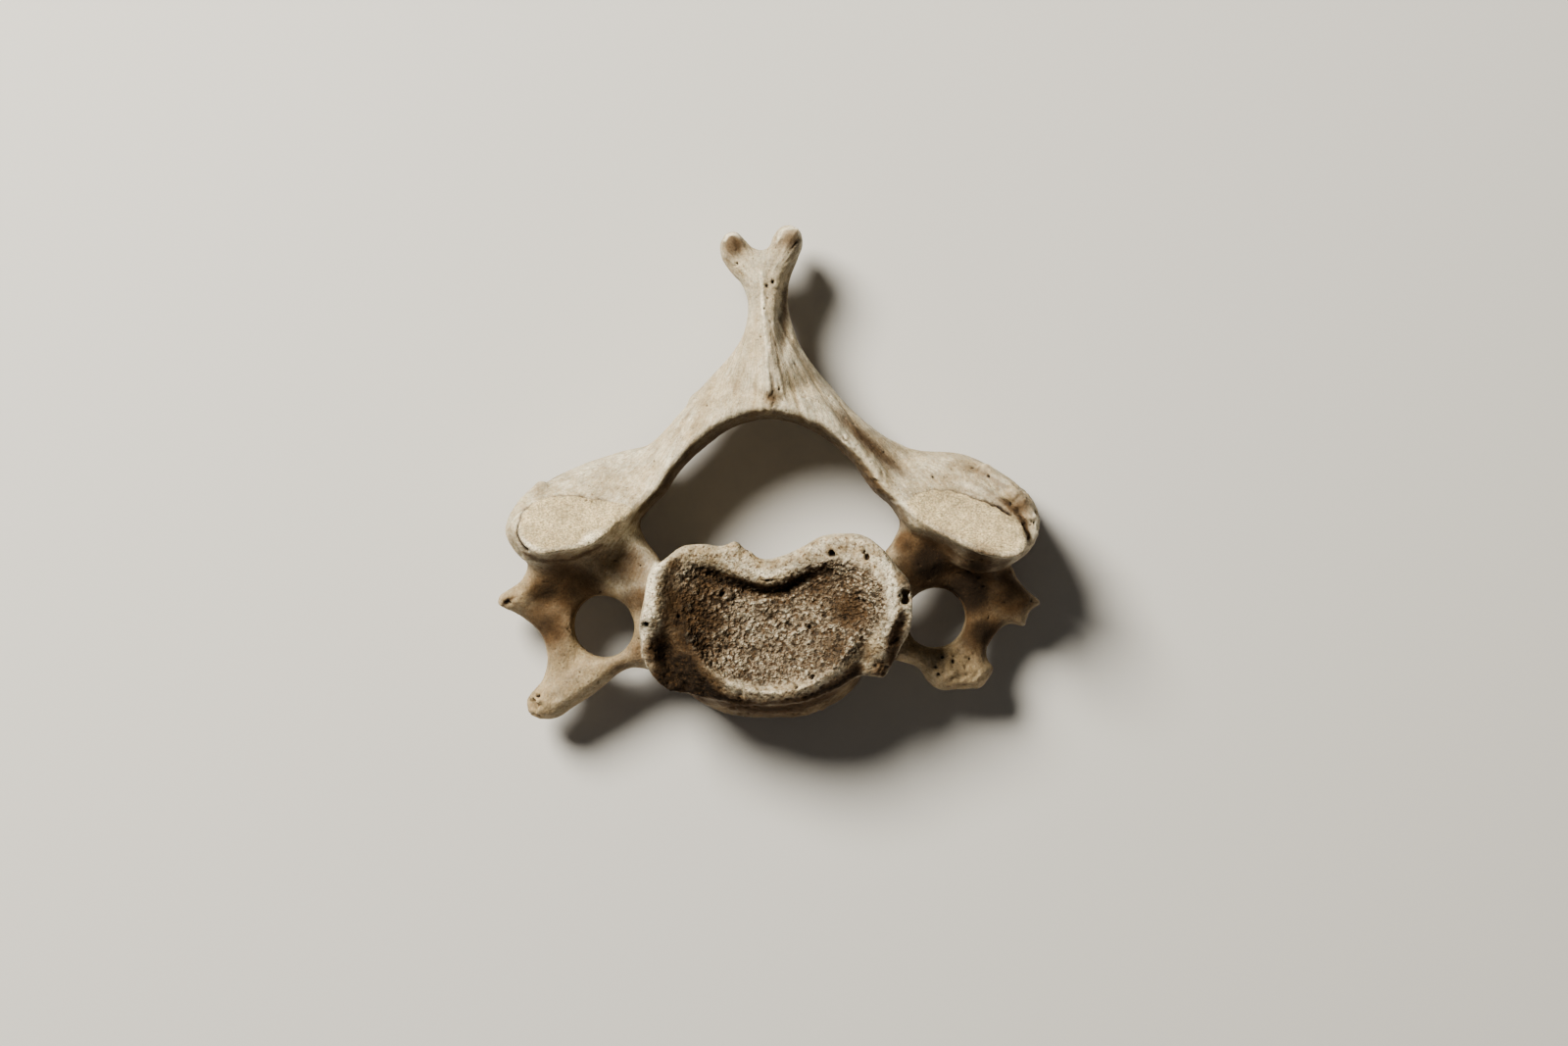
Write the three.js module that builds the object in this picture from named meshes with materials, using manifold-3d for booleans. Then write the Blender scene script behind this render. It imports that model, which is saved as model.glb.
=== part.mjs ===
// A neck vertebra of dry, slightly damaged bone, lying on its underside.
// Units are millimetres. +Z is up, +Y points to the forked spine and -Y to the front of the body.
// The origin lies on the table, under the middle of the bone's bounding box.
//
// The bone is one piece. Each region of it is a slab: an outline seen from above, with a roof of
// ridges and planes over it and a floor under it. The regions flow into each other as one distance
// field, and the field's zero level is turned into a closed mesh.

import * as THREE from "three";
import Module from "manifold-3d";

// The mesh
const GRID = 1.15; // distance between samples of the field
const MARGIN = 2.5; // empty space sampled round the bone
const HALF_SPAN = { x: 27.2, y: 25.4 };
const TOP_LEVEL = 17.6;
const SETTLING_ROUNDS = 5;
const RELAXATION = 0.4; // share of the way to the neighbours' middle, per round

// How softly the regions run into each other
const BLEND = 1.7;
const EDGE_ROUNDING = 1.6;
const STEEPNESS = 1.35; // brings roofs and floors, which slope, near to true distances

// The body, seen from above: its upper rim and its smaller lower rim
const UPPER_RIM = [
  [-11.8, -9.6], [-10.2, -8.2], [-8.6, -7.1], [-6.6, -6.8], [-4.9, -7.0], [-3.4, -6.7],
  [-2.0, -7.4], [-0.6, -8.2], [1.2, -7.9], [3.2, -7.1], [5.0, -6.1], [7.3, -5.8],
  [9.2, -6.1], [10.9, -7.2], [12.6, -9.2], [13.9, -11.0], [13.9, -14.9], [13.1, -17.4],
  [12.3, -19.9], [11.2, -20.6], [9.3, -20.2], [6.5, -21.5], [2.5, -22.8], [-1.5, -23.0],
  [-5.5, -22.7], [-9.2, -22.2], [-10.9, -21.5], [-12.3, -19.3], [-12.9, -15.6], [-12.4, -12.2],
];
const LOWER_RIM = [
  [-8.8, -9.8], [-4.5, -8.9], [0.0, -8.7], [4.5, -8.9], [9.0, -9.7], [10.4, -12.8], [10.2, -17.5],
  [8.2, -21.6], [4.2, -23.9], [0.0, -24.3], [-4.4, -23.9], [-8.0, -22.0], [-9.8, -18.0],
  [-10.1, -12.8],
];
const BODY_FLANK = { lowest: 4.0, highest: 13.5, waist: 0.6 };

// Ridges are rows of [x, y, height, half-width of the flat crest, slope beside it]
const BODY_RIM_RIDGE = [
  [-10.2, -20.9, 11.7, 0.6, 0.8], [-11.4, -19.2, 13.1, 0.5, 1.0], [-11.9, -17.2, 14.2, 0.5, 1.3],
  [-11.7, -15.4, 15.0, 0.5, 1.4], [-11.3, -13.6, 15.8, 0.5, 1.4], [-11.15, -11.4, 16.1, 0.5, 1.5],
  [-10.95, -9.7, 15.9, 0.5, 1.5], [-10.0, -8.7, 15.2, 0.5, 1.5], [-8.4, -8.0, 14.6, 0.5, 1.5],
  [-6.3, -8.0, 14.2, 0.6, 1.6], [-4.4, -8.4, 13.9, 0.7, 1.7], [-2.6, -9.2, 13.8, 0.9, 2.2],
  [-0.8, -9.7, 13.7, 0.9, 2.6], [0.8, -9.5, 13.7, 0.9, 2.6], [2.5, -8.7, 13.9, 0.8, 2.2],
  [4.6, -7.7, 14.3, 0.9, 1.6], [6.4, -7.3, 14.8, 1.1, 1.1], [8.4, -7.5, 15.1, 1.2, 0.8],
  [10.4, -8.7, 15.8, 1.0, 0.7], [11.6, -10.4, 16.2, 0.8, 0.7], [12.2, -12.4, 16.2, 0.6, 0.9],
  [11.9, -14.4, 15.5, 0.5, 0.9], [11.1, -16.4, 14.4, 0.5, 0.9], [10.3, -18.2, 13.3, 0.5, 0.9],
  [10.0, -19.8, 12.4, 0.5, 0.9],
];
// The upper face is a bowl. A low ring runs round its front, and the corners fall away past it.
const ENDPLATE = { middle: [0.6, -13.4], level: 12.1, across: 0.024, along: 0.018 };
const RING = { middle: [0.1, -14.4], rx: 8.2, ry: 7.1, height: 0.75, width: 0.1 };
const BEVEL = { drop: 4.4, start: 1.05, end: 1.5 };
const BODY_FLOOR = { back: 2.6, hollow: 3.7, hollowAt: -15.5, lipAt: -23.2, lip: -0.35, curl: 0.018 };

// The hollow of the spinal canal. It is wider above than below, except at the body.
const CANAL = [
  [-12.9, -5.1], [-12.3, -3.8], [-10.5, -2.0], [-8.9, 0.3], [-6.6, 2.6], [-3.6, 4.6], [-0.5, 5.4],
  [2.6, 4.9], [5.7, 3.4], [8.3, 1.1], [10.3, -1.6], [12.2, -3.5], [12.7, -5.1], [11.9, -7.0],
  [9.5, -8.9], [4.5, -9.4], [0.0, -9.5], [-4.5, -9.4], [-9.2, -9.0], [-12.0, -7.1],
];
const CANAL_FLARE = { widest: 0.8, fromZ: 6.0, toZ: 12.0, fromY: -4.5, toY: -1.0, rounding: 2.0 };

// The arch: two laminae that meet in the forked spine
const ARCH = [
  [-24.0, -5.0], [-24.6, -2.7], [-22.4, -0.7], [-19.7, 0.5], [-16.2, 1.7], [-12.8, 2.8],
  [-10.5, 4.5], [-8.5, 6.8], [-8.0, 7.8], [-6.6, 9.1], [-4.3, 11.6], [-2.8, 13.8], [-2.3, 15.4],
  [-2.2, 17.2], [-2.8, 19.1], [-3.9, 20.3], [-4.8, 21.8], [-4.9, 23.2], [-4.3, 24.1],
  [-3.4, 24.3], [-2.6, 23.6], [-1.8, 22.8], [-0.8, 22.5], [-0.1, 22.9], [0.3, 23.9],
  [1.0, 24.7], [2.0, 25.0], [2.9, 24.4], [3.3, 23.2], [2.8, 21.6], [2.1, 20.0], [1.8, 18.5],
  [1.9, 16.1], [2.8, 13.4], [4.3, 11.1], [6.2, 8.8], [8.2, 6.5], [11.0, 4.2], [13.2, 3.2],
  [16.4, 2.4], [19.6, 2.2], [21.8, 1.2], [24.1, -0.4], [25.9, -2.2], [26.3, -4.4], [24.0, -6.0],
  [16.0, -4.5], [8.0, -3.0], [-8.0, -3.0], [-16.0, -4.5],
];
const LEFT_LAMINA_RIDGE = [
  [-13.6, -3.2, 11.4, 0.5, 1.1], [-12.1, -2.7, 11.5, 0.6, 1.2], [-10.7, -1.0, 11.7, 0.7, 1.4],
  [-9.3, 1.0, 11.9, 0.7, 1.6], [-7.1, 3.5, 12.1, 0.7, 1.5], [-3.9, 5.6, 12.5, 0.6, 1.3],
  [-0.4, 6.4, 12.8, 0.3, 1.2],
];
const RIGHT_LAMINA_RIDGE = [
  [14.1, -3.6, 11.7, 0.5, 1.1], [12.5, -2.6, 11.6, 0.6, 1.3], [11.1, -1.3, 11.6, 0.7, 1.5],
  [9.6, 1.0, 11.9, 0.7, 1.6], [6.3, 4.1, 12.2, 0.7, 1.5], [3.1, 5.9, 12.6, 0.6, 1.3],
  [-0.4, 6.4, 12.8, 0.3, 1.2],
];
const SPINE_RIDGE = [
  [-0.1, 7.0, 12.8, 0.3, 1.1], [-0.25, 9.5, 12.5, 0.3, 1.0], [-0.45, 12.0, 11.8, 0.4, 0.9],
  [-0.65, 15.0, 10.9, 0.6, 0.8], [-0.75, 18.0, 10.1, 0.9, 0.7], [-0.8, 20.3, 9.6, 1.5, 0.7],
];
const LEFT_FORK_RIDGE = [
  [-1.4, 20.0, 9.4, 1.0, 0.8], [-3.2, 22.1, 9.2, 0.9, 0.9], [-3.7, 23.1, 9.2, 0.9, 0.9],
];
const RIGHT_FORK_RIDGE = [
  [-0.2, 20.0, 9.5, 1.0, 0.8], [1.4, 22.2, 9.6, 0.8, 0.9], [1.9, 23.6, 9.5, 0.8, 0.9],
];
// A shallow groove along the right lamina, as a row of [x, y, depth, half-width]
const LAMINA_GROOVE = [
  [5.6, 7.0, 0.1, 0.7], [8.0, 4.8, 0.5, 0.9], [10.4, 2.6, 0.8, 1.0], [12.6, 0.8, 0.7, 1.1],
  [14.6, -0.4, 0.3, 1.0],
];
// The valley right of the spine's ridge, cut by a chain of balls of [x, y, z, radius]
const NECK_HOLLOW = [
  [3.1, 21.6, 8.7, 0.6], [2.7, 19.8, 8.5, 1.25], [2.05, 17.9, 8.8, 1.45], [1.75, 16.0, 9.4, 1.45],
  [1.6, 14.4, 10.1, 1.2], [1.4, 12.8, 10.9, 0.9], [1.25, 11.2, 11.7, 0.4],
];
const ARCH_FLOOR = { outer: 2.7, rise: 0.85, highest: 6.4 };
const SPINE_FLOOR = { from: 9.0, to: 15.0, level: 4.4, tipFrom: 17.0, tipTo: 24.0, tipDrop: 1.0 };

// The pillars, one each side. A slanted facet tops each one, and a parallel one is under it.
const LEFT_PILLAR = {
  outline: [
    [-26.3, -5.8], [-25.8, -3.9], [-24.6, -2.4], [-22.4, -0.7], [-19.7, 0.4], [-16.6, 1.4],
    [-13.6, 2.1], [-11.8, 0.6], [-11.4, -3.6], [-14.6, -6.4], [-17.4, -7.9], [-20.2, -8.9],
    [-22.8, -9.1], [-25.0, -8.2],
  ],
  facet: [
    [-24.9, -5.0], [-24.0, -3.1], [-22.2, -2.2], [-19.6, -2.0], [-16.9, -2.4], [-14.6, -2.8],
    [-13.6, -3.5], [-14.8, -4.6], [-16.2, -6.1], [-18.0, -7.2], [-20.8, -7.7], [-22.6, -7.9],
    [-24.1, -7.1], [-24.8, -6.2],
  ],
  plane: { x: -19.3, y: -5.0, z: 13.6, alongX: -0.06, alongY: -1.12 },
  back: { y: -2.1, level: 10.3, slope: -0.8 },
};
const RIGHT_PILLAR = {
  outline: [
    [26.8, -5.0], [26.3, -2.7], [24.1, -0.5], [21.6, 1.1], [18.5, 1.9], [14.4, 1.5], [11.8, -0.6],
    [11.5, -3.8], [13.8, -5.4], [16.4, -6.8], [18.2, -8.7], [20.6, -9.6], [23.4, -9.2],
    [25.8, -7.6],
  ],
  facet: [
    [13.5, -2.8], [14.8, -1.7], [17.0, -1.4], [19.4, -1.8], [21.7, -2.7], [23.6, -3.7],
    [24.8, -4.9], [25.4, -6.5], [24.9, -7.8], [23.2, -8.3], [20.7, -7.8], [18.4, -6.7],
    [16.0, -5.5], [14.3, -4.2],
  ],
  plane: { x: 19.5, y: -5.0, z: 13.5, alongX: 0.04, alongY: -1.08 },
  back: { y: -1.6, level: 9.9, slope: -0.55 },
};
const FACET = { proud: 0.45, thick: 2.4, rounding: 0.9, blend: 0.4 };
const PILLAR_NECK = { from: 9.5, to: 14.5, inset: 0.3 };
const PILLAR_FLOOR = { lowest: -0.35, from: -1.4, slope: -1.05 };

// The transverse processes, one each side, each pierced by a round hole
const LEFT_TRANSVERSE = {
  outline: [
    [-10.4, -9.0], [-10.8, -6.6], [-12.0, -4.4], [-18.0, -4.8], [-22.4, -7.0], [-24.0, -8.7],
    [-24.5, -9.8], [-25.2, -10.8], [-27.0, -12.0], [-27.2, -13.1], [-25.8, -13.8], [-24.4, -14.8],
    [-23.1, -16.0], [-22.5, -17.4], [-22.4, -18.8], [-22.9, -20.5], [-24.2, -22.0],
    [-24.5, -23.2], [-23.7, -24.4], [-21.5, -24.5], [-19.7, -23.4], [-17.8, -22.2],
    [-16.4, -21.0], [-15.0, -19.9], [-13.6, -19.4], [-11.8, -19.6], [-9.8, -18.6], [-9.0, -13.0],
  ],
  hole: { x: -16.65, y: -15.15, rx: 3.05, ry: 3.1 },
  ridges: [
    [[-9.0, -11.5, 11.8, 1.6, 0.6], [-12.6, -9.2, 10.6, 1.5, 0.6], [-16.4, -7.4, 10.2, 1.4, 0.7]],
    [[-21.6, -9.2, 9.2, 0.8, 0.7], [-24.0, -10.6, 8.3, 0.5, 0.8], [-26.2, -12.6, 7.2, 0.4, 0.8]],
    [[-20.8, -13.0, 7.2, 0.6, 0.5], [-20.9, -18.0, 7.6, 0.6, 0.6]],
    [
      [-10.6, -16.6, 8.6, 0.8, 0.8], [-15.0, -18.4, 8.2, 0.5, 0.9], [-18.6, -20.2, 7.9, 0.7, 0.8],
      [-21.4, -21.9, 7.6, 0.8, 0.8], [-23.0, -22.8, 7.0, 0.7, 0.9],
    ],
  ],
};
const RIGHT_TRANSVERSE = {
  outline: [
    [10.2, -9.2], [10.8, -6.8], [12.0, -4.6], [18.0, -5.0], [22.4, -7.4], [24.2, -9.2],
    [24.8, -10.4], [25.8, -11.6], [27.2, -12.8], [26.2, -13.5], [25.9, -14.4], [25.6, -15.3],
    [24.2, -15.1], [23.2, -15.5], [22.3, -16.5], [21.7, -17.6], [21.9, -18.6], [22.4, -19.5],
    [21.2, -21.2], [19.4, -21.5], [17.2, -21.6], [15.8, -20.8], [14.8, -19.4], [13.6, -18.9],
    [11.8, -18.6], [10.0, -18.0], [9.4, -13.0],
  ],
  hole: { x: 16.55, y: -14.3, rx: 3.05, ry: 3.05 },
  ridges: [
    [[9.0, -11.5, 11.6, 1.4, 0.7], [12.6, -9.0, 9.8, 1.2, 0.8], [16.4, -7.2, 8.8, 1.2, 0.8]],
    [[21.6, -9.4, 8.9, 0.8, 0.7], [24.2, -11.0, 8.0, 0.5, 0.8], [26.2, -12.7, 7.2, 0.4, 0.8]],
    [[20.4, -13.0, 7.0, 0.5, 0.5], [20.3, -17.4, 7.4, 0.5, 0.6]],
    [
      [11.4, -16.2, 8.6, 0.7, 0.8], [15.2, -18.2, 8.2, 0.5, 0.9], [18.4, -19.4, 7.8, 1.0, 0.7],
      [20.6, -19.8, 7.4, 0.9, 0.8],
    ],
  ],
};
const TRANSVERSE_LEVEL = { roof: 6.2, floor: 3.3, underBody: 4.6 };
const HOLE_ROUNDING = 0.8;

// The larger of two values, with the corner between them rounded over a width k.
function smoothMax(a, b, k) {
  const overlap = Math.max(k - Math.abs(a - b), 0) / k;
  return Math.max(a, b) + (overlap * overlap * k) / 4;
}

function smoothMin(a, b, k) {
  return -smoothMax(-a, -b, k);
}

// 0 below the first value, 1 above the second, and a smooth rise between them.
function smoothStep(from, to, value) {
  const t = Math.min(Math.max((value - from) / (to - from), 0), 1);
  return t * t * (3 - 2 * t);
}

function mix(a, b, t) {
  return a + (b - a) * t;
}

// Signed distance in the plane to a smooth closed outline, negative inside it.
function outlineDistance(points, stepsPerPoint = 3) {
  const corners = points.map(([x, y]) => new THREE.Vector3(x, y, 0));
  const curve = new THREE.CatmullRomCurve3(corners, true, "catmullrom", 0.5);
  const ring = curve.getPoints(points.length * stepsPerPoint).slice(0, -1);
  const edges = ring.map((a, i) => {
    const b = ring[(i + 1) % ring.length];
    return [a.x, a.y, b.x, b.y];
  });
  return (x, y) => {
    let nearest = Infinity;
    let inside = false;
    for (const [ax, ay, bx, by] of edges) {
      const t = Math.min(Math.max(alongSegment(x, y, ax, ay, bx, by), 0), 1);
      const gapX = x - mix(ax, bx, t);
      const gapY = y - mix(ay, by, t);
      nearest = Math.min(nearest, gapX * gapX + gapY * gapY);
      if (ay > y !== by > y && x < ax + ((y - ay) / (by - ay)) * (bx - ax)) inside = !inside;
    }
    return inside ? -Math.sqrt(nearest) : Math.sqrt(nearest);
  };
}

// Where the foot of the perpendicular from a point falls on a segment: 0 at its start, 1 at its end.
function alongSegment(x, y, ax, ay, bx, by) {
  const dx = bx - ax;
  const dy = by - ay;
  return ((x - ax) * dx + (y - ay) * dy) / (dx * dx + dy * dy);
}

// An open Catmull-Rom curve through rows of values.
function smoothLine(rows, steps = 4) {
  const last = rows.length - 1;
  const mirrored = (end, next) => end.map((value, c) => 2 * value - next[c]);
  const padded = [mirrored(rows[0], rows[1]), ...rows, mirrored(rows[last], rows[last - 1])];
  const line = [];
  for (let i = 0; i < last; i++) {
    const [before, a, b, after] = padded.slice(i, i + 4);
    for (let step = 0; step < steps; step++) {
      const t = step / steps;
      line.push(a.map((value, c) => 0.5 * (2 * value + (b[c] - before[c]) * t +
        (2 * before[c] - 5 * value + 4 * b[c] - after[c]) * t ** 2 +
        (3 * value - before[c] - 3 * b[c] + after[c]) * t ** 3)));
    }
  }
  return [...line, rows[last]];
}

// Height of a ridge over the plane. It falls away on both sides of its crest line. Where the line
// bends, the heights over its pieces are mixed by how near they are, so that no crease shows.
function ridgeHeight(stations) {
  const crestRadius = 0.4;
  const softness = 0.35;
  const line = smoothLine(stations);
  return (x, y) => {
    const gaps = [];
    const heights = [];
    for (let i = 0; i + 1 < line.length; i++) {
      const [ax, ay, az, aFlat, aSlope] = line[i];
      const [bx, by, bz, bFlat, bSlope] = line[i + 1];
      const t = Math.min(Math.max(alongSegment(x, y, ax, ay, bx, by), 0), 1);
      const away = Math.hypot(x - mix(ax, bx, t), y - mix(ay, by, t));
      const past = Math.max(away - mix(aFlat, bFlat, t), 0);
      gaps.push(away);
      heights.push(
        mix(az, bz, t) - mix(aSlope, bSlope, t) * (Math.hypot(past, crestRadius) - crestRadius),
      );
    }
    const nearest = Math.min(...gaps);
    const shares = gaps.map((gap) => Math.exp((nearest - gap) / softness));
    const total = shares.reduce((a, b) => a + b);
    return shares.reduce((sum, share, i) => sum + share * heights[i], 0) / total;
  };
}

// Depth of a soft groove along a line of [x, y, depth, half-width].
function grooveDepth(stations) {
  const line = smoothLine(stations);
  return (x, y) => {
    let deepest = 0;
    for (let i = 0; i + 1 < line.length; i++) {
      const [ax, ay, aDepth, aWide] = line[i];
      const [bx, by, bDepth, bWide] = line[i + 1];
      const t = Math.min(Math.max(alongSegment(x, y, ax, ay, bx, by), 0), 1);
      const away = Math.hypot(x - mix(ax, bx, t), y - mix(ay, by, t)) / mix(aWide, bWide, t);
      deepest = Math.max(deepest, mix(aDepth, bDepth, t) * Math.exp(-away * away));
    }
    return deepest;
  };
}

// Signed distance to a chain of balls, negative inside it.
function chainDistance(balls) {
  return (x, y, z) => {
    const point = new THREE.Vector3(x, y, z);
    const gaps = balls.slice(1).map(([bx, by, bz, bRadius], i) => {
      const [ax, ay, az, aRadius] = balls[i];
      const link = new THREE.Line3(new THREE.Vector3(ax, ay, az), new THREE.Vector3(bx, by, bz));
      const t = link.closestPointToPointParameter(point, true);
      return link.at(t, new THREE.Vector3()).distanceTo(point) - mix(aRadius, bRadius, t);
    });
    return Math.min(...gaps);
  };
}

function planeHeight({ x: x0, y: y0, z: z0, alongX, alongY }) {
  return (x, y) => z0 + alongX * (x - x0) + alongY * (y - y0);
}

// A region of the bone: what is inside its sides, under its roof and over its floor.
function slab(side, roof, floor, rounding = EDGE_ROUNDING) {
  return (x, y, z) => {
    const above = (z - roof(x, y)) / STEEPNESS;
    const below = (floor(x, y) - z) / STEEPNESS;
    return smoothMax(side(x, y, z), smoothMax(above, below, rounding), rounding);
  };
}

function bodyRegion() {
  const upper = outlineDistance(UPPER_RIM);
  const lower = outlineDistance(LOWER_RIM);
  const rim = ridgeHeight(BODY_RIM_RIDGE);
  const { lowest, highest, waist } = BODY_FLANK;
  const side = (x, y, z) => {
    const t = smoothStep(lowest, highest, z);
    return mix(lower(x, y), upper(x, y), t) + waist * 4 * t * (1 - t);
  };
  const endplate = (x, y) => {
    const [lowX, lowY] = ENDPLATE.middle;
    const [ringX, ringY] = RING.middle;
    const fromRing = Math.hypot((x - ringX) / RING.rx, (y - ringY) / RING.ry);
    const inFront = smoothStep(0.5, -3.0, y - ringY);
    const bowl = ENDPLATE.across * (x - lowX) ** 2 + ENDPLATE.along * (y - lowY) ** 2;
    const ring = RING.height * Math.exp(-(((fromRing - 1) / RING.width) ** 2));
    const bevel = BEVEL.drop * smoothStep(BEVEL.start, BEVEL.end, fromRing);
    return ENDPLATE.level + bowl + inFront * (ring - bevel);
  };
  const roof = (x, y) => smoothMax(endplate(x, y), rim(x, y), 0.9);
  const floor = (x, y) => {
    const { back, hollow, hollowAt, lipAt, lip, curl } = BODY_FLOOR;
    const behind = mix(hollow, back, smoothStep(hollowAt, LOWER_RIM[2][1], y));
    return mix(lip, behind, smoothStep(lipAt, hollowAt, y)) + curl * x * x;
  };
  return slab(side, roof, floor, 0.9);
}

function archRegion() {
  const outline = outlineDistance(ARCH);
  const ridges = [
    LEFT_LAMINA_RIDGE, RIGHT_LAMINA_RIDGE, SPINE_RIDGE, LEFT_FORK_RIDGE, RIGHT_FORK_RIDGE,
  ].map(ridgeHeight);
  const groove = grooveDepth(LAMINA_GROOVE);
  const roof = (x, y) =>
    ridges.map((ridge) => ridge(x, y)).reduce((a, b) => smoothMax(a, b, 0.6)) - groove(x, y);
  const floor = (x, y) => {
    const { outer, rise, highest } = ARCH_FLOOR;
    const { from, to, level, tipFrom, tipTo, tipDrop } = SPINE_FLOOR;
    const underLamina = smoothMin(outer - rise * outline(x, y), highest, 1);
    const underSpine = level - tipDrop * smoothStep(tipFrom, tipTo, y);
    return mix(underLamina, underSpine, smoothStep(from, to, y));
  };
  const plate = slab(outline, roof, floor);
  const valley = chainDistance(NECK_HOLLOW);
  return (x, y, z) => smoothMax(plate(x, y, z), -valley(x, y, z), 0.8);
}

function pillarRegion({ outline, facet, plane, back }) {
  const facetPlane = planeHeight(plane);
  const foot = outlineDistance(outline);
  const head = outlineDistance(facet);
  const wall = (x, y, z) => {
    const t = smoothStep(PILLAR_NECK.from, PILLAR_NECK.to, z);
    return mix(foot(x, y), head(x, y) + PILLAR_NECK.inset, t);
  };
  const behind = (y) => back.level + back.slope * (y - back.y);
  const roof = (x, y) => smoothMax(facetPlane(x, y) - FACET.proud, behind(y), 0.8);
  const floor = (x, y) => {
    const { lowest, from, slope } = PILLAR_FLOOR;
    return smoothMax(lowest, lowest + slope * (y - from), 1);
  };
  const pillar = slab(wall, roof, floor);
  const plate = slab(
    head, facetPlane, (x, y) => facetPlane(x, y) - FACET.thick, FACET.rounding,
  );
  return (x, y, z) => smoothMin(pillar(x, y, z), plate(x, y, z), FACET.blend);
}

function transverseRegion({ outline, ridges, hole }) {
  const wall = outlineDistance(outline);
  const heights = ridges.map(ridgeHeight);
  const roof = (x, y) =>
    heights.map((ridge) => ridge(x, y)).reduce((a, b) => smoothMax(a, b, 1), TRANSVERSE_LEVEL.roof);
  const floor = (x) => mix(TRANSVERSE_LEVEL.underBody, TRANSVERSE_LEVEL.floor,
    smoothStep(11, 18, Math.abs(x)));
  const plate = slab(wall, roof, floor);
  return (x, y, z) => {
    const reach = Math.hypot((x - hole.x) / hole.rx, (y - hole.y) / hole.ry);
    const insideHole = (1 - reach) * Math.min(hole.rx, hole.ry);
    return smoothMax(plate(x, y, z), insideHole, HOLE_ROUNDING);
  };
}

// The whole bone as one field: negative inside, positive outside.
function boneField() {
  const around = [
    archRegion(),
    pillarRegion(LEFT_PILLAR),
    pillarRegion(RIGHT_PILLAR),
    transverseRegion(LEFT_TRANSVERSE),
    transverseRegion(RIGHT_TRANSVERSE),
  ];
  const body = bodyRegion();
  const canal = outlineDistance(CANAL);
  return (x, y, z) => {
    const ring = around.map((region) => region(x, y, z)).reduce((a, b) => smoothMin(a, b, BLEND));
    const { widest, fromZ, toZ, fromY, toY, rounding } = CANAL_FLARE;
    const flare = widest * smoothStep(fromZ, toZ, z) * smoothStep(fromY, toY, y);
    const open = smoothMax(ring, flare - canal(x, y), rounding);
    return smoothMin(open, body(x, y, z), BLEND);
  };
}

// The corners of a grid cell, and its edges as pairs of corners, with the axis of each edge.
const CORNERS = [0, 1, 2, 3, 4, 5, 6, 7].map((c) => [c & 1, (c >> 1) & 1, (c >> 2) & 1]);
const EDGES = [];
for (let axis = 0; axis < 3; axis++) {
  for (let c = 0; c < 8; c++) if (!CORNERS[c][axis]) EDGES.push([c, c | (1 << axis), axis]);
}
// The faces of a cell, each as its four edges.
const FACES = [];
for (let axis = 0; axis < 3; axis++) {
  for (let level = 0; level < 2; level++) {
    FACES.push(
      EDGES.flatMap(([a, b], e) =>
        CORNERS[a][axis] === level && CORNERS[b][axis] === level ? [e] : []),
    );
  }
}

// Groups the crossed edges of a cell into the separate sheets of surface that pass through it.
function sheetsOf(values) {
  const sheet = EDGES.map((_, e) => e);
  const rootOf = (e) => (sheet[e] === e ? e : rootOf(sheet[e]));
  const crossed = EDGES.map(([a, b]) => values[a] < 0 !== values[b] < 0);
  for (const face of FACES) {
    const cut = face.filter((e) => crossed[e]);
    for (const e of cut) {
      for (const f of cut) {
        const shared = EDGES[e].slice(0, 2).find((c) => EDGES[f].slice(0, 2).includes(c));
        const joined = cut.length === 2 || (shared !== undefined && values[shared] < 0);
        if (e < f && joined) sheet[rootOf(e)] = rootOf(f);
      }
    }
  }
  return EDGES.map((_, e) => (crossed[e] ? rootOf(e) : -1));
}

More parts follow.
